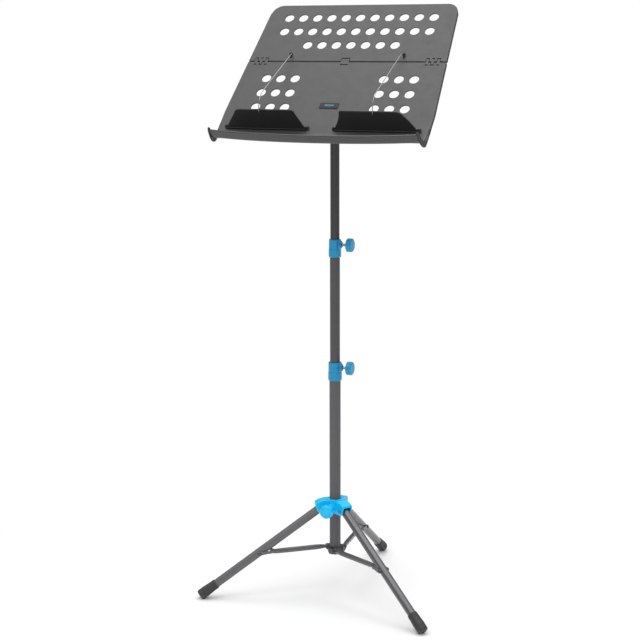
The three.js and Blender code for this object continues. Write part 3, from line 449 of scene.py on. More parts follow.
def dark_plastic_and_shade():
    finish = Finish("dark_plastic_and_shade", 0x1E1F21, 0.45)
    finish.mottle(40, 0.2)
    finish.polish(120, 0.08)
    finish.relief(finish.noise(1800, 3), 0.03, 0.5)
    finish.edge_wear(srgb(0x4A4A4C))
    return finish.material


def rubber():
    finish = Finish("foot_rubber", 0x333334, 0.6)
    finish.mottle(45, 0.15)
    finish.polish(90, 0.08)
    finish.relief(finish.noise(1500, 4), 0.05, 0.6)
    height = finish.nodes.new("ShaderNodeSeparateXYZ")
    finish.links.new(finish.place, height.inputs["Vector"])
    dust = finish.between(height.outputs["Z"], 0.014, 0.0, 0, 0.5)
    finish.tint(finish.times(dust, finish.between(finish.noise(260, 4), 0.35, 0.65)), srgb(0x8A8782))
    finish.edge_wear(srgb(0x585858))
    return finish.material


def flat_ink(name, color):
    finish = Finish(name, color, 0.4)
    finish.mottle(200, 0.15)
    finish.polish(300, 0.06)
    finish.relief(finish.noise(2500, 2), 0.01, 0.4)
    return finish.material


DESK_GREY = moulded("desk_plastic", 0x424242, 0.52, 2600, 0.03, 0.2)
BLUE = moulded("blue_plastic", 0x008FC0, 0.36, 2200, 0.02, 0.35)
# painted light: a lighter copy of the blue plastic for the hub and its knob, which sit low in brighter light
BLUE_LIT = moulded("blue_plastic_painted_light", 0x00C4F9, 0.3, 2200, 0.02, 0.5)
# gloss black of the flaps; on the lip's bead it is painted shade
BLACK_AND_SHADE = gloss_black_and_shade()
# pale grey along the flap's skirt edge: a painted highlight
SKIRT_HIGHLIGHT = moulded("flap_skirt_painted_highlight", 0x707072, 0.4, 2000, 0.02, 0.2)
# dark plastic of the clips and other black parts; on the flap bases' strips and the tray's ears it is also painted
# shade
DARK_AND_SHADE = dark_plastic_and_shade()
# painted shade for the rounded edges and walls of the desk's rims, seam, slots and holes
WALL_SHADE = moulded("desk_wall_painted_shade", 0x28292B, 0.55, 2600, 0.04, 0.3)
PLATE_DARK = moulded("nameplate_plastic", 0x121213, 0.62, 2000, 0.02, 0.1)
TEAL = flat_ink("teal_ink", 0x0C6A80)
# the three mast tubes have one paint; the middle and top tubes are painted darker as painted shade from the desk above
# them
MAST_LOWER = tube_paint("mast_lower_paint", 0x606062, 0.42, 0.0)
MAST_MIDDLE_SHADED = tube_paint("mast_middle_painted_shade", 0x535355, 0.42, 0.0)
MAST_TOP_SHADED = tube_paint("mast_top_painted_shade", 0x444446, 0.44, 0.0)
LEG_PAINT = tube_paint("leg_paint", 0x626264, 0.24, 0.3, metallic=0.5, specular=0.5, lines=0.02)
DARK_STEEL = metal("dark_steel", 0x55565A, 0.42)
STEEL = metal("steel", 0x8C8E90, 0.34)
WIRE = metal("wire_steel", 0x9A9C9E, 0.34)
RUBBER = rubber()

SLOT_FINISH = {
    "mast_lower": MAST_LOWER, "mast_middle": MAST_MIDDLE_SHADED, "mast_top": MAST_TOP_SHADED, "leg_paint": LEG_PAINT,
    "blue_plastic": BLUE, "desk_plastic": DESK_GREY, "black_plastic": DARK_AND_SHADE, "dark_steel": DARK_STEEL,
    "steel": STEEL, "foot_rubber": RUBBER,
}

# ---- pieces ----

replaced = set()


def fuse(obj, voxel, softening, keep):
    """Melt overlapping shells into one moulded body with soft fillets."""
    remesh = obj.modifiers.new("melt", "REMESH")
    remesh.mode = "VOXEL"
    remesh.voxel_size = voxel * MM
    smooth = obj.modifiers.new("soften", "SMOOTH")
    smooth.factor = 0.5
    smooth.iterations = softening
    thin = obj.modifiers.new("thin", "DECIMATE")
    thin.ratio = keep
    graph = bpy.context.evaluated_depsgraph_get()
    mesh = bpy.data.meshes.new_from_object(obj.evaluated_get(graph))
    obj.modifiers.clear()
    old = obj.data
    obj.data = mesh
    bpy.data.meshes.remove(old)


def dressed(name, bm, nodes, materials=None, angle=32, melt=None):
    """Object from a finished bmesh, with its finish, its body and the CAD nodes that it stands for."""
    mesh = bpy.data.meshes.new(name)
    bm.to_mesh(mesh)
    bm.free()
    obj = bpy.data.objects.new(name, mesh)
    bpy.context.scene.collection.objects.link(obj)
    if melt:
        fuse(obj, *melt)
    for material in materials or [SLOT_FINISH[SLOT_OF[nodes[0]]]]:
        obj.data.materials.append(material)
    obj.data.shade_smooth()
    obj.data.set_sharp_from_angle(angle=math.radians(angle))
    if not melt:
        obj.modifiers.new("even_shading", "WEIGHTED_NORMAL").keep_sharp = True
    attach(obj, BODY_OF[nodes[0]])
    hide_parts(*nodes)
    replaced.update(nodes)
    return obj


def piece(name, nodes, shells, place=MAST, **look):
    """One visible piece that stands for CAD nodes of one body."""
    bm = bmesh.new()
    for vertices, faces, finish in shells:
        made = [bm.verts.new(place @ vertex) for vertex in vertices]
        for k, corners in enumerate(faces):
            index = finish[k] if isinstance(finish, list) else finish
            bm.faces.new([made[i] for i in corners]).material_index = index
    bmesh.ops.remove_doubles(bm, verts=bm.verts, dist=1e-7)
    bmesh.ops.dissolve_degenerate(bm, edges=bm.edges, dist=1e-7)
    bmesh.ops.recalc_face_normals(bm, faces=bm.faces)
    return dressed(name, bm, nodes, **look)


BEVEL = 0.35                    # mm


def refined(node):
    """Piece from a CAD node's own solid: flat faces made whole, sharp edges rounded, curves shaded smooth."""
    bm = bmesh.new()
    bm.from_mesh(frame["nodes"][node].data)
    bmesh.ops.remove_doubles(bm, verts=bm.verts, dist=2e-6)
    bmesh.ops.dissolve_limit(bm, angle_limit=math.radians(1.5), verts=bm.verts, edges=bm.edges)
    sharp = [e for e in bm.edges if len(e.link_faces) == 2 and e.calc_face_angle(0) > math.radians(38)]
    bmesh.ops.bevel(bm, geom=sharp, offset=BEVEL * MM, offset_type="OFFSET", segments=2, profile=0.6,
                    affect="EDGES", clamp_overlap=True)
    dressed(f"{node}_detail", bm, [node], angle=34)


# ---- mast ----

LOWER_R, MIDDLE_R, TOP_R = 12.5, 11, 10
for node, outer, wall in (("lower_tube", LOWER_R, 1.1), ("middle_tube", MIDDLE_R, 0.7), ("top_tube", TOP_R, 1.1)):
    low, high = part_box(node)
    piece(f"{node}_skin", [node], [tube(outer, outer - wall, low.z / MM, high.z / MM, 0.35, 96)])

LOWER_SCREW_Z, UPPER_SCREW_Z, HUB_SCREW_Z = 526, 800.3, 206
SOCKET_SCREW_Z, TILT_Z = 1064, 1095
MELT = (0.45, 3, 0.35)          # voxel in mm, smoothing steps, share of triangles kept


def collar(bottom, top, radius, outer_tube, inner_tube, tube_top, screw_z, boss_end):
    """Sleeve that narrows in two soft steps, with a conical screw boss and a lip at its foot."""
    step = bottom + 0.46 * (top - bottom)
    body = lathe(fillet([
        (outer_tube + 0.3, bottom),
        (radius - 1.1, bottom),
        (radius, bottom + 1.8),
        (radius, step - 1),
        (radius - 0.5, step + 0.6),
        (radius - 0.6, top - 1.6),
        (radius - 1.4, top),
        (inner_tube + 0.3, top),
        (inner_tube + 0.3, tube_top + 0.3),
        (outer_tube + 0.3, tube_top + 0.3),
    ], 0.7, 3), 96)
    inner = radius - 2
    boss = lathe(fillet([
        (3.3, inner), (11.5, inner), (11.5, radius - 2.4), (10.6, radius - 1.2), (6.8, boss_end), (3.3, boss_end),
    ], [0, 0, 0.5, 1.0, 1.0, 0.3], 3), 56)
    return [body, placed(boss, shift(0, 0, screw_z) @ ALONG_X)]


piece("lower_collar_shell", ["lower_collar"],
      collar(496.7, 538, 15.2, LOWER_R, MIDDLE_R, 512, LOWER_SCREW_Z, 18), melt=MELT)
piece("upper_collar_shell", ["upper_collar"],
      collar(772.8, 812, 13.7, MIDDLE_R, TOP_R, 786, UPPER_SCREW_Z, 16.5), melt=MELT)


def knob(radius=15, thickness=12.4, ribs=40, depth=0.16, disc=False):
    """Grip knob along z: a flat back, a finely ribbed rim and a slightly domed front, with a grooved ring round
    an inner disc if asked."""
    def rib(r, z, angle):
        reach = max(0.0, 1 - abs(z - 0.48 * thickness) / (0.36 * thickness))
        return r - depth * min(1.0, 2 * reach) * (r / radius) ** 6 * (0.5 + 0.5 * math.cos(ribs * angle))
    front = [(radius * 0.8, thickness), (0, thickness)]
    if disc:
        front = [(radius * 0.84, thickness - 0.15), (radius * 0.74, thickness - 0.15), (radius * 0.7, thickness - 1.0),
                 (radius * 0.64, thickness - 1.0), (radius * 0.58, thickness), (0, thickness)]
    profile = [(0, 0.6), (3.4, 0.6), (radius * 0.4, 0.0), (radius - 1.2, 0.0), (radius, 1.3),
               (radius, 0.45 * thickness), (radius, thickness - 2.0), (radius - 1.7, thickness - 0.35)] + front
    radii = [0, 0.3, 0.8, 0.8, 1.2, 0, 1.2, 1.6] + [0.4] * (len(front) - 1) + [0]
    return turned(profile, radii, 200, rib, steps=4)


for name, height in (("lower_clamp_knob", LOWER_SCREW_Z), ("upper_clamp_knob", UPPER_SCREW_Z)):
    piece(f"{name}_grip", [name], [placed(knob(), shift(29.6, 0, height) @ ALONG_X)])
# the hub's knob takes the lighter blue, painted light
piece("hub_clamp_knob_grip", ["hub_clamp_knob"],
      [placed(knob(disc=True), shift(0, -43.5, HUB_SCREW_Z) @ ALONG_MINUS_Y)], materials=[BLUE_LIT])
piece("socket_knob_grip", ["socket_knob"],
      [placed(knob(9, 9, 18, 0.3), shift(0, 21.5, SOCKET_SCREW_Z) @ ALONG_Y)])
piece("tilt_knob_grip", ["tilt_knob"], [placed(knob(12, 12, 22, 0.35), shift(11.6, 0, TILT_Z) @ ALONG_X)])

# ---- tripod ----

HUB_TOP, HUB_BOTTOM = 224, 193
HOOD_GAP, HOOD_WALL = 10.2, 3.0


def hood():
    """Roof and two cheeks over the head of a leg, in the plane of that leg."""
    outside = HOOD_GAP + HOOD_WALL
    roof = prism([
        (12, HUB_TOP), (24, HUB_TOP - 0.6), (37, HUB_TOP - 3.8), (44.8, HUB_TOP - 8.4), (46, HUB_TOP - 12.4),
        (44, HUB_TOP - 12.6), (34, HUB_TOP - 7), (18.5, HUB_TOP - 7), (12, HUB_TOP - 10),
    ], -outside, outside, 1.6, 3)
    cheek = [
        (12, HUB_TOP - 0.6), (24, HUB_TOP - 1.2), (37, HUB_TOP - 4.2), (44.8, HUB_TOP - 8.8), (46, HUB_TOP - 13),
        (41.5, HUB_BOTTOM + 4.5), (37.5, HUB_BOTTOM), (12, HUB_BOTTOM),
    ]
    cheek = fillet(cheek, [0, 2, 3, 3, 2, 3, 2.4, 0], 3)
    walls = [prism(cheek, *span, 0.5, 2) for span in ((HOOD_GAP, outside), (-outside, -HOOD_GAP))]
    back = prism([(12, HUB_TOP - 2), (18.5, HUB_TOP - 2), (18.5, HUB_BOTTOM), (12, HUB_BOTTOM)],
                 -HOOD_GAP - 0.4, HOOD_GAP + 0.4, 0.3, 1)
    return [placed(shell, UPRIGHT) for shell in (roof, *walls, back)]


hub_shells = [lathe(fillet([
    (12.8, HUB_BOTTOM), (17.0, HUB_BOTTOM), (17.5, HUB_BOTTOM + 2), (17.5, HUB_TOP), (14.6, HUB_TOP),
    (12.8, HUB_TOP - 0.6),
], [0.4, 0.8, 0.5, 1.2, 0.4, 0.2], 3), 96)]
for side in SIDES:
    hub_shells += [placed(shell, leg_plane(side)) for shell in hood()]
hub_boss = lathe(fillet([(3.3, 14), (8.8, 14), (8.6, 38), (7.6, 42), (3.3, 42)], [0, 0, 2, 1.2, 0.2], 3), 56)
hub_shells.append(placed(hub_boss, shift(0, 0, HUB_SCREW_Z) @ ALONG_MINUS_Y))
# the hub takes the lighter blue, painted light
piece("tripod_hub_shell", ["tripod_hub"], hub_shells, materials=[BLUE_LIT], melt=(0.6, 4, 0.3))

FOOT_START, FOOT_END, FOOT_GROOVE = 290.0, 335.5, 324.0
BOOT_R = 9.7                    # anything thinner is the socket for the leg
FACETS = 8
RING_STEP = 1.2


def foot():
    """Rubber boot along x: arched facets that fade out uphill, a groove, and a rounded toe."""
    def facet(r, x, angle):
        if r < BOOT_R:
            return r
        t = (x - FOOT_START) / (FOOT_GROOVE - FOOT_START)
        if t < 0 or t > 1.0:
            return r
        turn = (angle * FACETS / (2 * PI)) % 1.0 - 0.5
        arch = max(0.0, 1 - (turn / 0.47) ** 2)
        depth = 1.1 * min(1.0, t * 1.6) * arch
        edge = min(1.0, max(0.0, (1 - t) * (FOOT_GROOVE - FOOT_START) / 7 - 0.9 * (1 - arch)))
        return r - depth * edge
    outer = [
        (9.8, FOOT_START), (10.7, FOOT_START), (11.0, FOOT_START + 2.4), (11.5, FOOT_START + 12),
        (12.3, FOOT_GROOVE - 6), (12.3, FOOT_GROOVE - 0.8), (11.5, FOOT_GROOVE), (11.5, FOOT_GROOVE + 1.2),
        (12.0, FOOT_GROOVE + 2), (12.0, FOOT_END - 3), (10.4, FOOT_END), (0, FOOT_END + 0.1),
    ]
    # the wall needs many rings for the arches, so long stretches are divided
    fine = [outer[0]]
    for a, b in zip(outer, outer[1:]):
        arched = a[1] >= FOOT_START + 2 and b[1] <= FOOT_GROOVE
        count = max(1, int((b[1] - a[1]) / RING_STEP)) if arched else 1
        fine += [(a[0] + (b[0] - a[0]) * k / count, a[1] + (b[1] - a[1]) * k / count) for k in range(1, count + 1)]
    inner = [(0, 328.3), (9.8, 328.3)]
    radii = [0 if FOOT_START + 2 < x < FOOT_GROOVE - 1 else 0.5 for _, x in fine]
    radii[-1] = 0
    profile = fillet(inner + fine, [0, 0] + radii, 3, closed=False)
    return placed(lathe(profile, 192, facet), ALONG_X)


def trim_to_floor(obj):
    """Flatten what would reach under the floor, as the worn pad of a foot."""
    for vertex in obj.data.vertices:
        vertex.co.z = max(vertex.co.z, 0.0)


FORK_ROOT, NECK_END = 34, 12    # back from the far end, and out from the mast end


def brace():
    """Pressed bar along x: an eye at the mast, a flattened round bar and a fork over the leg."""
    length = BRACE_LENGTH
    eye = placed(turned([(0, -3.4), (4.8, -3.4), (4.8, 3.4), (0, 3.4)], 0.6, 40), ALONG_Y)
    rings = []
    for x, half_width, half_height in ((0, 3.3, 3.8), (9, 3.3, 4.3), (16, 4.4, 5.2), (27, 5.2, 5.6),
                                       (length - 52, 5.2, 5.6), (length - 40, 5.2, 5.2), (length - 30, 5.6, 4.4)):
        ring = []
        for k in range(32):
            angle = 2 * PI * k / 32
            across, up = (math.copysign(abs(c) ** 0.8, c) for c in (math.cos(angle), math.sin(angle)))
            ring.append((x, half_width * across, half_height * up))
        rings.append(ring)
    bar = loft(rings)
    inner, outer = 9.95, 12.15
    half = [(length - FORK_ROOT, -4.6), (length - 25, -outer), (length - 16, -outer), (length - 16, -inner),
            (length - 24, -inner), (length - 29.5, -3.4)]
    yoke = prism(fillet(half + [(x, -y) for x, y in half[::-1]], [1, 3, 0, 0, 2, 1.5, 1.5, 2, 0, 0, 3, 1], 3),
                 -1.5, 5, 0.5, 2)
    ears = [placed(prism(fillet([(length - 19, -1.5), (length - 4, -4.4), (length + 5, -4.4),
                                 (length + 5, 5), (length - 19, 5)], [0, 4, 4, 4.6, 0], 5), *span, 0.5, 2),
                   UPRIGHT)
            for span in ((inner, outer), (-outer, -inner))]
    return [skewed(shell) for shell in (eye, bar, yoke, *ears)]


def skewed(shell):
    """Bring the mast end of a brace over to the side of the mast."""
    moved = []
    for vertex in shell[0]:
        share = (BRACE_LENGTH - FORK_ROOT - vertex.x) / (BRACE_LENGTH - FORK_ROOT - NECK_END)
        moved.append(Vector((vertex.x, vertex.y + BRACE_OFFSET * min(1.0, max(0.0, share)), vertex.z)))
    return (moved, shell[1], shell[2])


for side in SIDES:
    piece(f"{side}_leg_tube", [f"{side}_leg"], [placed(tube(9.5, 8.3, -9, 328, 0.4, 72), ALONG_X)], leg_frame(side))
    trim_to_floor(piece(f"{side}_foot_boot", [f"{side}_foot"], [foot()], leg_frame(side), angle=40))
    piece(f"{side}_brace_bar", [f"{side}_brace"], brace(), brace_frame(side), melt=MELT)


LUG_FAR, LUG_NEAR, EAR_WALL = -19.3, -5.7, 3.1


def lug():
    """Block on the side of the cup with a pair of ears that hold the end of a brace."""
    ear = fillet([(3, 96.5), (15, 98), (20.6, 103.5), (20.6, 109.5), (17, 111.3), (3, 110.8)],
                 [0, 3, 3, 2.4, 1.5, 0], 4)
    block = fillet([(1, 96.5), (10.6, 97.3), (10.6, 111), (1, 110.8)], [0, 1, 1, 0], 3)
    spans = [(ear, LUG_FAR, LUG_FAR + EAR_WALL), (ear, LUG_NEAR - EAR_WALL, LUG_NEAR), (block, LUG_FAR, LUG_NEAR)]
    return [placed(prism(outline, -high, -low, 0.5, 2), UPRIGHT) for outline, low, high in spans]


cup = turned([(0, 93.4), (11.5, 93.4), (16.4, 97), (16.2, 104), (15.6, 111), (12.8, 111), (12.8, 95.2), (0, 95.2)],
             [0, 2.5, 3, 1, 0.8, 0.4, 0.4, 0], 96)
bracket_shells = [cup]
for side in SIDES:
    bracket_shells += [placed(shell, leg_plane(side)) for shell in lug()]
piece("bottom_bracket_cup", ["bottom_bracket"], bracket_shells, melt=MELT)

# ---- desk ----

TOP_V, CORNER_R, BOTTOM_V = 189.9, 26.0, -184.0
SEAM_HALF_WIDTH, MAX_HALF_WIDTH, SIDE_SLOPE = 231.5, 240.8, 0.0636
SEAM_GAP = 1.7
HINGE_U, FINGER_PITCH, FINGER_HALF, NOTCH_HALF = 200.4, 12.4, 3.2, 3.8
OUTER_FINGERS = [-FINGER_PITCH, FINGER_PITCH]
TAB_HALF = 9.4
FINGER_ENDS = {1: 8.4, -1: 7.2}
SLOT_ENDS = {1: 11.0, -1: 9.8}
HOLE_R, PITCH_U, PITCH_V = 10.8, 34.3, 41.2
UPPER_ROW_V, LOWER_ROW_V = 149.95, -31.2
NO_RIM, SEAM_RIM, EDGE_RIM, TRAY_END = range(4)
RIM_CHANGES = ((HINGE_U - 24, SEAM_RIM), (HINGE_U - 22, NO_RIM), (12.4, NO_RIM), (14.4, SEAM_RIM))


def half_width(v):
    return min(MAX_HALF_WIDTH, SEAM_HALF_WIDTH - (v - SEAM_V) * SIDE_SLOPE)


def seam_edge(upward, own, other):
    """Corners along the seam of one leaf from left to right: its fingers reach over the seam, and there is a
    notch for each finger of the other leaf. upward is 1 for the upper leaf."""
    v = SEAM_V + upward * SEAM_GAP
    finger_v = SEAM_V - upward * FINGER_ENDS[-upward]
    notch_v = SEAM_V + upward * SLOT_ENDS[upward]
    marks = []
    for group in (-HINGE_U, HINGE_U):
        marks += [(group + offset, FINGER_HALF, finger_v) for offset in own]
        marks += [(group + offset, NOTCH_HALF, notch_v) for offset in other]
    marks.append((0, TAB_HALF + 0.6, notch_v) if upward > 0 else (0, TAB_HALF, SEAM_V + FINGER_ENDS[1]))
    runs = []
    for centre, half, end in marks:
        near, far = centre - half, centre + half
        runs.append((near, [((near, v), NO_RIM), ((near, end), NO_RIM), ((far, end), NO_RIM), ((far, v), NO_RIM)]))
    for u, kind in RIM_CHANGES:
        runs += [(sign * u, [((sign * u, v), kind)]) for sign in (-1, 1)]
    return [corner for _, run in sorted(runs, key=lambda run: run[0]) for corner in run]


RIM_PROFILES = {
    EDGE_RIM: [(1.0, 0), (0.3, -0.3), (0, -1.0), (0, -6.4), (0.17, -6.83), (0.6, -7), (2.0, -7), (2.43, -6.83),
               (2.6, -6.4), (2.6, -2.9), (3.1, -2.4)],
    SEAM_RIM: [(0.3, 0), (0.1, -0.1), (0, -0.3), (0, -4.6), (0.1, -4.9), (0.4, -5), (1.6, -5), (1.9, -4.9),
               (2.0, -4.6), (2.0, -2.9), (2.5, -2.4)],
    NO_RIM: [(0.3, 0), (0.1, -0.1), (0, -0.3), (0, -4.6), (0.1, -4.8), (0.3, -4.9), (0.9, -4.9), (1.1, -4.8),
             (1.2, -4.6), (1.2, -2.9), (1.5, -2.4)],
    TRAY_END: [(0, 0), (0, 0), (0, -0.4), (0, -2.0), (0, -2.3), (0, -2.4)] + [(0, -2.4)] * 5,
}
SLOT_PROFILE = [(0.2, 0), (0.05, -0.1), (0, -0.3), (0, -4.6), (0.8, -4.6), (0.8, -2.4)]
HOLE_PROFILE = [(0.3, 0), (0.1, -0.1), (0, -0.3), (0, -2.0), (0.1, -2.3), (0.35, -2.4)]


def leaf(corners, holes):
    """Plate with a rounded front edge, a stiffening rim behind its edges and softened holes. The rounded edges and the
    walls of its rims, seam, slots and holes take painted shade.
    """
    outline = [Vector(point) for point, _ in corners]
    kinds = [kind for _, kind in corners]
    if clockwise(outline):
        outline, kinds = outline[::-1], kinds[::-1]
    rims = []
    for steps in zip(*(RIM_PROFILES[kind] for kind in kinds)):
        rims.append(([distance for distance, _ in steps], [height for _, height in steps]))
    return sheet_with_holes(outline, [(wound(hole), profile) for hole, profile in holes], rims, 1)


def barrels(offsets, upward):
    """Hinge barrels under the fingers of a leaf, each with a web to its plate."""
    shells = []
    for group in (-HINGE_U, HINGE_U):
        for offset in offsets:
            u = group + offset
            ring = tube(3.2, 1.7, u - FINGER_HALF, u + FINGER_HALF, 0.3, 40)
            shells.append(placed(ring, shift(0, SEAM_V, HINGE_W) @ ALONG_X))
            near, far = sorted((SEAM_V + upward * 2.6, SEAM_V + upward * 7))
            shells.append(prism(box_outline(u - 3.1, u + 3.1, near, far, 0.4), -6.4, -2.0, 0.3))
    return shells


def end_slots(upward, offsets, half):
    """Moulded relief slots beyond the root of each finger, on the far side of the seam."""
    near, far = FINGER_ENDS[upward], SLOT_ENDS[upward]
    return [(box_outline(centre - half, centre + half, SEAM_V + upward * near, SEAM_V + upward * far, 0.5, 2),
             SLOT_PROFILE) for centre in offsets]


def mirrored(corners):
    return [((-u, v), kind) for (u, v), kind in reversed(corners)]


low_v = SEAM_V + SEAM_GAP
top = TOP_V - CORNER_R
right_side = [((half_width(low_v), low_v), NO_RIM), ((half_width(low_v + 3), low_v + 3), EDGE_RIM),
              ((half_width(top), top), EDGE_RIM)]
for k in range(1, 13):
    turn = PI / 2 * k / 12
    corner = (half_width(TOP_V) - CORNER_R + CORNER_R * math.cos(turn), top + CORNER_R * math.sin(turn))
    right_side.append((corner, EDGE_RIM))
left_side = mirrored(right_side)
upper = left_side[-1:] + seam_edge(1, [0], OUTER_FINGERS) + right_side + left_side[:-1]
upper_holes = []
for row, count in enumerate((11, 11, 7)):
    v = UPPER_ROW_V - row * PITCH_V
    upper_holes += [(circle(HOLE_R, 48, (i - (count - 1) / 2) * PITCH_U, v), HOLE_PROFILE) for i in range(count)]
upper_holes += end_slots(1, (-HINGE_U, HINGE_U), FINGER_HALF)
piece("desk_upper_leaf", ["upper_leaf"], [leaf(upper, upper_holes), *barrels([0], 1)], DESK,
      materials=[DESK_GREY, WALL_SHADE])


TRAY_HALF = 237.6
TRAY_TAPER = 0.00036
TRAY_STATIONS = 96
BOW_HALF, SINK_START = 226, 200


def lip_edge(u, v, w, bow_v, bow_w, lift):
    """Point of the lip at u: it bows with u squared."""
    s = (u / BOW_HALF) ** 2
    return Vector((v + bow_v * s, w - bow_w * s + lift * s * s))


def lip_crest(u):
    return lip_edge(u, -231.9, 49.4, 14.4, 11.1, 2.7)


def tray_section(u):
    """Closed section of the tray at u: floor and lip. The floor sinks towards the ends."""
    lip_top = lip_crest(u)
    lip_foot = lip_edge(u, -235.3, 29.5, 17.3, 13.7, 2.6)
    start = Vector((BOTTOM_V - 7.5, 1.2))
    along = (lip_foot - start).normalized()
    sunk = max(0.0, (abs(u) - SINK_START) / (TRAY_HALF - SINK_START))
    end = (lip_foot - along * 7).lerp(Vector((-206, 4.5)), sunk)
    corners = [
        ((BOTTOM_V + 3, -0.04), 0),
        ((BOTTOM_V, 0.0), 3),
        ((start.x, start.y), 4),
        ((end.x + 0.6, end.y + 1.0), 3),
        ((lip_foot.x + 2.7, lip_foot.y + 1.2), 3),
        ((lip_top.x + 2.6, lip_top.y - 1.0), 0.3),
        ((lip_top.x + 2.1, lip_top.y), 0.3),
        ((lip_top.x + 0.3, lip_top.y), 0.3),
        ((lip_top.x - 0.2, lip_top.y - 1.0), 0.3),
        ((lip_foot.x, lip_foot.y + 3), 3),
        ((lip_foot.x + 1.2, lip_foot.y - 2.2), 3),
        ((end.x - 1.4, end.y - 1.9), 3),
        ((start.x - 1, start.y - 3.4), 4),
        ((BOTTOM_V + 0.5, -3.0), 2),
        ((BOTTOM_V + 3, -2.96), 0),
    ]
    return fillet([point for point, _ in corners], [radius for _, radius in corners], 3)


def tray():
    stations = [TRAY_HALF * (2 * i / (TRAY_STATIONS - 1) - 1) for i in range(TRAY_STATIONS)]
    return tapered(loft([[(u, p.x, p.y) for p in tray_section(u)] for u in stations]))


def tapered(shell):
    """Draw the tray in towards its lip."""
    return ([Vector((p.x * (1 - TRAY_TAPER * max(0.0, p.z)), p.y, p.z)) for p in shell[0]], shell[1], shell[2])


def bead():
    """Bead along the top of the lip, gloss black as painted shade of the trough behind the lip."""
    path = []
    for i in range(65):
        u = (TRAY_HALF - 0.6) * (2 * i / 64 - 1)
        crest = lip_crest(u)
        path.append((u, crest.x - 0.3, crest.y - 1.1))
    # finish 3 is the gloss black, here painted shade
    return tapered(sweep(path, 1.6, 14, finish=3))


EAR = fillet([(-165, -7), (-198, -7), (-206, -6), (-213.5, -2), (-217.5, 5), (-219.5, 13), (-219.5, 22), (-218.3, 32),
              (-215.5, 43), (-211, 44), (-209.8, 40), (-209, 30), (-208.5, 20), (-207.5, 12), (-204.5, 5.5),
              (-198.5, 1.5), (-190, 0), (-165, 0)], [0, 6, 6, 6, 6, 6, 6, 6, 1.4, 1.4, 4, 8, 8, 6, 6, 6, 6, 0], 4)


def ears():
    shells = []
    for sign in (-1, 1):
        near, far = sorted((sign * (TRAY_HALF - 0.6), sign * (MAX_HALF_WIDTH)))
        # the ears take material 2, the dark plastic, as painted shade on the ends of the tray
        shells.append(tapered(placed(prism(EAR, near, far, 0.7, 2, finish=2), SECTION)))
    return shells


high_v = SEAM_V - SEAM_GAP
knee = SEAM_V - (MAX_HALF_WIDTH - SEAM_HALF_WIDTH) / SIDE_SLOPE
right_side = [((MAX_HALF_WIDTH - 2, BOTTOM_V), TRAY_END), ((MAX_HALF_WIDTH, BOTTOM_V + 2), TRAY_END),
              ((MAX_HALF_WIDTH, BOTTOM_V + 8), EDGE_RIM), ((MAX_HALF_WIDTH, knee), EDGE_RIM),
              ((half_width(high_v - 3), high_v - 3), EDGE_RIM), ((half_width(high_v), high_v), NO_RIM)]
left_side = mirrored(right_side)
lower = left_side[3:] + right_side + seam_edge(-1, OUTER_FINGERS, [0])[::-1] + left_side[:3]
lower_holes = []
for row in range(3):
    for column in (-5, -4, -3, 3, 4, 5):
        lower_holes.append((circle(HOLE_R, 48, column * PITCH_U, LOWER_ROW_V - row * PITCH_V), HOLE_PROFILE))
lower_holes += end_slots(-1, [group + offset for group in (-HINGE_U, HINGE_U)
                              for offset in OUTER_FINGERS], FINGER_HALF)
lower_holes += end_slots(-1, [0], TAB_HALF)
pad = prism(box_outline(-34, 34, -134, -46, 3), -7, -2.0, 0.5)
# materials: desk grey, painted shade on the walls, dark plastic as painted shade on the ears, gloss black as painted
# shade on the bead
piece("desk_lower_leaf", ["lower_leaf"],
      [leaf(lower, lower_holes), tray(), bead(), pad, *ears(), *barrels(OUTER_FINGERS, -1)],
      DESK, materials=[DESK_GREY, WALL_SHADE, DARK_AND_SHADE, BLACK_AND_SHADE])

plate = prism(box_outline(-21.5, 21.5, -115.5, -100.5, 1.2), 0.3, 1.4, 0.35)
stripes = [prism(box_outline(-11, 11, -109.4, -105.2, 2, 5), 1.2, 1.55, 0.1, 1, finish=1),
           prism(box_outline(-8, 6, -112.6, -111.6, 0.5, 4), 1.2, 1.5, 0.1, 1, finish=1)]
piece("nameplate_face", ["nameplate"], [plate, *stripes], DESK, materials=[PLATE_DARK, TEAL])

# ---- page flaps, their bases and wires ----

FLAP_HINGE, FLAP_TIP = Vector((-172.5, 5.6)), Vector((-163.5, 50.5))
flap_length = (FLAP_TIP - FLAP_HINGE).length
flap_out = (FLAP_TIP - FLAP_HINGE).normalized()
FLAP = Matrix(((1, 0, 0, 0), (0, flap_out.x, -flap_out.y, FLAP_HINGE.x), (0, flap_out.y, flap_out.x, FLAP_HINGE.y),
               (0, 0, 0, 1)))


def ogee(t):
    """Height of the flap's middle surface, from its skirt at t = 0 to its tip at t = 1."""
    return 4.3 * (1 - t) ** 3 - 1.6 * math.sin(PI * min(1.0, t * 1.05)) + 0.6 * t


FLAP_START, FLAP_HALF_WALL, FLAP_EDGE = -2.6, 1.15, 1.1
FLAP_STATIONS, FLAP_COLUMNS = 30, 28
FLAP_LOW, FLAP_HIGH = 31.0, 219.0


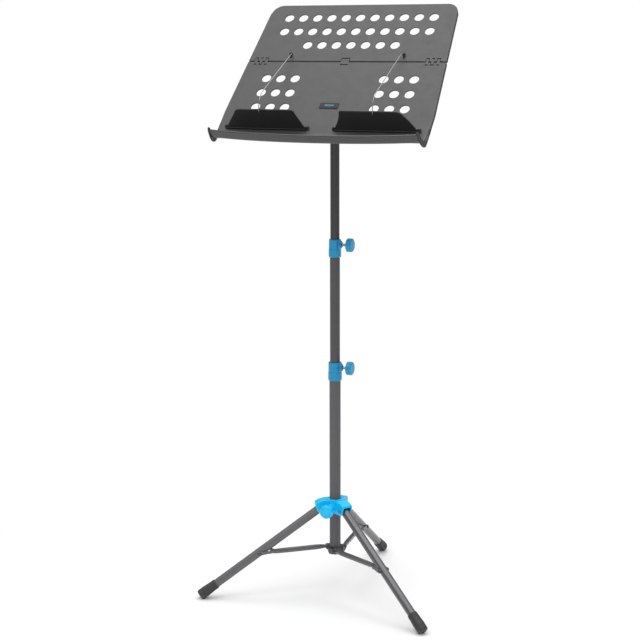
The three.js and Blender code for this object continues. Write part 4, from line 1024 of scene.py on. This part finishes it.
def flap(sign):
    """Thin ogee blade, wider at its root, with rounded corners at its tip, a pin barrel and a skirt edge painted pale
    as a highlight.
    """
    height = flap_length - FLAP_START
    rings = []
    for i in range(FLAP_STATIONS + 1):
        t = i / FLAP_STATIONS
        y = FLAP_START + height * t
        slope = (ogee(min(1, t + 0.01)) - ogee(max(0, t - 0.01))) / (0.02 * height)
        normal = Vector((-slope, 1)).normalized()
        close = min(1.0, (1 - t) * height / FLAP_EDGE, t * height / FLAP_EDGE)
        half = FLAP_HALF_WALL * math.sqrt(max(0.05, 1 - (1 - close) ** 2))
        inner = 52 - 21 * (0.35 * (1 - t) + 0.65 * (1 - t) ** 2.2)
        outer = 184 + 35 * (1 - t) ** 1.02
        corner = max(0.0, t - 0.86) / 0.14
        pull = 7 * (1 - math.sqrt(max(0.0, 1 - corner ** 2)))
        inner, outer = inner + pull * 0.6, outer - pull
        reach = [(outer - inner - 2) * k / FLAP_COLUMNS for k in range(FLAP_COLUMNS + 1)]
        points = [(inner + 1 + step, half) for step in reach]
        points += [(outer - 0.25, half * 0.7), (outer, 0), (outer - 0.25, -half * 0.7)]
        points += [(outer - 1 - step, -half) for step in reach]
        points += [(inner + 0.25, -half * 0.7), (inner, 0), (inner + 0.25, half * 0.7)]
        rings.append([(sign * u, y + normal.x * n, ogee(t) + normal.y * n) for u, n in points])
    low, high = sorted((sign * FLAP_LOW, sign * FLAP_HIGH))
    barrel = tube(2.5, 1.8, low, high, 0.2, 32)
    # the skirt takes material 1, a painted highlight along the flap's root
    skirt = sweep([(sign * u, FLAP_START, ogee(0)) for u in (FLAP_LOW + 2, FLAP_HIGH - 2)], 0.75, 12, finish=1)
    return [loft(rings), placed(barrel, ALONG_X), skirt]


LUG_LOW, LUG_HIGH = 27.4, 222.6


def flap_base(sign):
    """Strip on the desk under the flap's root, a real base whose dark colour also paints the flap's shadow, with a
    pair of desk-coloured lugs for the flap's pin.
    """
    v, w = FLAP_HINGE
    low, high = sorted((sign * LUG_LOW, sign * LUG_HIGH))
    strip = prism(box_outline(low + 4.6, high - 4.6, v - 5.3, v + 4.8, 1), 0.3, 1.5, 0.4)
    lug_outline = fillet([(v - 4.6, 0.3), (v + 4.2, 0.3), (v + 2.6, w + 0.8), (v + 1.8, w + 2.4), (v - 1.8, w + 2.4),
                          (v - 2.8, w + 0.8)], [0, 0, 1.4, 1.6, 1.6, 1.4], 3)
    lugs = []
    for a, b in ((LUG_LOW, LUG_LOW + 3), (LUG_HIGH - 3, LUG_HIGH)):
        near, far = sorted((sign * a, sign * b))
        lugs.append(placed(prism(lug_outline, near, far, 0.4, 2, finish=1), SECTION))
    return [strip, *lugs]


WIRE_U, WIRE_V, WIRE_W, WIRE_R = 128.5, 35.5, 6.6, 0.92


def wire(sign):
    """Bent rod from its clip, out over the page and down to the flap."""
    u, v, w = sign * WIRE_U, WIRE_V, WIRE_W
    route = [(u + sign * 6, v, w), (u, v, w), (u, v - 11.5, w + 5.2), (u, -113, 59), (u, -133, 65.6),
             (u, -151.5, 63.4), (u, -163, 55), (u, -168.6, 50.6), (u, -170.2, 45.5)]
    return sweep(fillet(route, [0, 2.2, 8, 30, 16, 12, 8, 4, 0], 6, closed=False), WIRE_R, 16)


def clip(sign):
    """Slim clip on the upper leaf: a base, a ring round the end of the wire and a spike on each side of it."""
    u, v, w = sign * WIRE_U, WIRE_V, WIRE_W
    low, high = sorted((u + sign * 2.2, u + sign * 5.4))
    base = prism(box_outline(low - 0.8, high + 0.8, v - 4.9, v + 6.9, 1), 0.3, 1.4, 0.3)
    ring = tube(3.1, 1.35, low, high, 0.3, 32)
    tail = [(v + 6.6, 0.8), (v + 2.9, w + 1.2), (v + 2.2, w), (v + 2.4, 0.8)]
    toe = [(v - 4.6, 0.8), (v - 1.6, 0.8), (v - 1.8, w - 1.6), (v - 2.7, w - 0.6)]
    spikes = [placed(prism(outline, low + 0.2, high - 0.2, 0.3, 2), SECTION) for outline in (tail, toe)]
    return [base, placed(ring, shift(0, v, w) @ ALONG_X), *spikes]


for name, sign in (("left", -1), ("right", 1)):
    piece(f"{name}_clip_body", [f"{name}_wire_clip"], clip(sign), DESK, materials=[DARK_AND_SHADE])
    piece(f"{name}_flap_blade", [f"{name}_flap"], flap(sign), DESK @ FLAP, materials=[BLACK_AND_SHADE, SKIRT_HIGHLIGHT], angle=50)
    piece(f"{name}_flap_mount", [f"{name}_flap_base"], flap_base(sign), DESK, materials=[DARK_AND_SHADE, DESK_GREY])
    piece(f"{name}_wire_rod", [f"{name}_wire_stay"], [wire(sign)], DESK, materials=[WIRE], angle=60)

# ---- everything else keeps its CAD shape, with rounded edges ----

for node in sorted(frame["nodes"]):
    if node not in replaced:
        refined(node)

# ---- studio ----

scene = bpy.context.scene
scene.view_settings.view_transform = "Standard"

FLOOR_HALF = 30.0
FLOOR_FADE = (0.45, 0.95)       # metres from the middle
floor_mesh = bpy.data.meshes.new("studio_floor")
floor_mesh.from_pydata([(x * FLOOR_HALF, y * FLOOR_HALF, 0) for x, y in ((-1, -1), (1, -1), (1, 1), (-1, 1))], [],
                       [(0, 1, 2, 3)])
floor = bpy.data.objects.new("studio_floor", floor_mesh)
scene.collection.objects.link(floor)
floor_finish = Finish("studio_floor", 0xF4F4F4, 0.9, specular=0.1)
floor_finish.mottle(3, 0.01)
# away from the stand the floor turns into even white light, so no horizon shows
spread = floor_finish.nodes.new("ShaderNodeVectorMath")
spread.operation = "LENGTH"
floor_finish.links.new(floor_finish.place, spread.inputs[0])
fade = floor_finish.between(spread.outputs["Value"], *FLOOR_FADE)
glow = floor_finish.nodes.new("ShaderNodeEmission")
glow.inputs["Color"].default_value = (1, 1, 1, 1)
blend = floor_finish.nodes.new("ShaderNodeMixShader")
floor_finish.links.new(fade, blend.inputs["Fac"])
floor_finish.links.new(floor_finish.shader.outputs["BSDF"], blend.inputs[1])
floor_finish.links.new(glow.outputs["Emission"], blend.inputs[2])
floor_finish.links.new(blend.outputs["Shader"], floor_finish.nodes["Material Output"].inputs["Surface"])
floor_mesh.materials.append(floor_finish.material)

world = bpy.data.worlds.new("studio")
scene.world = world
world.use_nodes = True
nodes, links = world.node_tree.nodes, world.node_tree.links
nodes.clear()
direction = nodes.new("ShaderNodeTexCoord").outputs["Generated"]
split = nodes.new("ShaderNodeSeparateXYZ")
links.new(direction, split.inputs["Vector"])
ramp = nodes.new("ShaderNodeValToRGB")
stops = ramp.color_ramp.elements
stops[0].position, stops[0].color = 0.1, (0.06, 0.06, 0.06, 1)
stops[1].position, stops[1].color = 0.9, (1, 1, 1, 1)
middle = stops.new(0.45)
middle.color = (0.3, 0.3, 0.3, 1)
links.new(split.outputs["Z"], ramp.inputs["Fac"])
soft = nodes.new("ShaderNodeBackground")
soft.inputs["Strength"].default_value = 1.5
links.new(ramp.outputs["Color"], soft.inputs["Color"])
plain = nodes.new("ShaderNodeBackground")
plain.inputs["Color"].default_value = (1, 1, 1, 1)
chooser = nodes.new("ShaderNodeMixShader")
links.new(nodes.new("ShaderNodeLightPath").outputs["Is Camera Ray"], chooser.inputs["Fac"])
links.new(soft.outputs["Background"], chooser.inputs[1])
links.new(plain.outputs["Background"], chooser.inputs[2])
output = nodes.new("ShaderNodeOutputWorld")
links.new(chooser.outputs["Shader"], output.inputs["Surface"])


def softbox(name, position, target, width, height, power):
    light = bpy.data.lights.new(name, "AREA")
    light.shape = "RECTANGLE"
    light.size, light.size_y, light.energy = width, height, power
    obj = bpy.data.objects.new(name, light)
    scene.collection.objects.link(obj)
    obj.location = position
    obj.rotation_euler = (Vector(position) - Vector(target)).to_track_quat("Z", "Y").to_euler()


softbox("key", (-0.9, -1.5, 3.2), (0, 0, 0.6), 1.4, 1.4, 12)
softbox("fill", (0.6, -3.0, 1.0), (0, 0, 0.5), 1.6, 1.6, 7)
softbox("top", (0, 0.2, 3.6), (0, 0, 0), 2.4, 2.4, 30)

# camera: turned 23 degrees to the player's right of the stand's front and 11 degrees above level
AZIMUTH, ELEVATION, ROLL = math.radians(23.17), math.radians(10.88), math.radians(-0.16)
DISTANCE, LENS, SENSOR = 3.244, 82.82, 36
AIM_ASIDE, AIM_HEIGHT = -0.0330, 0.6325
back = Vector((math.sin(AZIMUTH) * math.cos(ELEVATION), -math.cos(AZIMUTH) * math.cos(ELEVATION),
               math.sin(ELEVATION)))
right = Vector((math.cos(AZIMUTH), math.sin(AZIMUTH), 0))
aim = AXIS + right * AIM_ASIDE + Vector((0, 0, AIM_HEIGHT))
camera_data = bpy.data.cameras.new("camera")
camera_data.lens, camera_data.sensor_width = LENS, SENSOR
camera = bpy.data.objects.new("camera", camera_data)
scene.collection.objects.link(camera)
upright = Matrix((right, back.cross(right), back)).transposed().to_4x4()
camera.matrix_world = Matrix.Translation(aim + back * DISTANCE) @ upright @ Matrix.Rotation(ROLL, 4, "Z")
scene.camera = camera
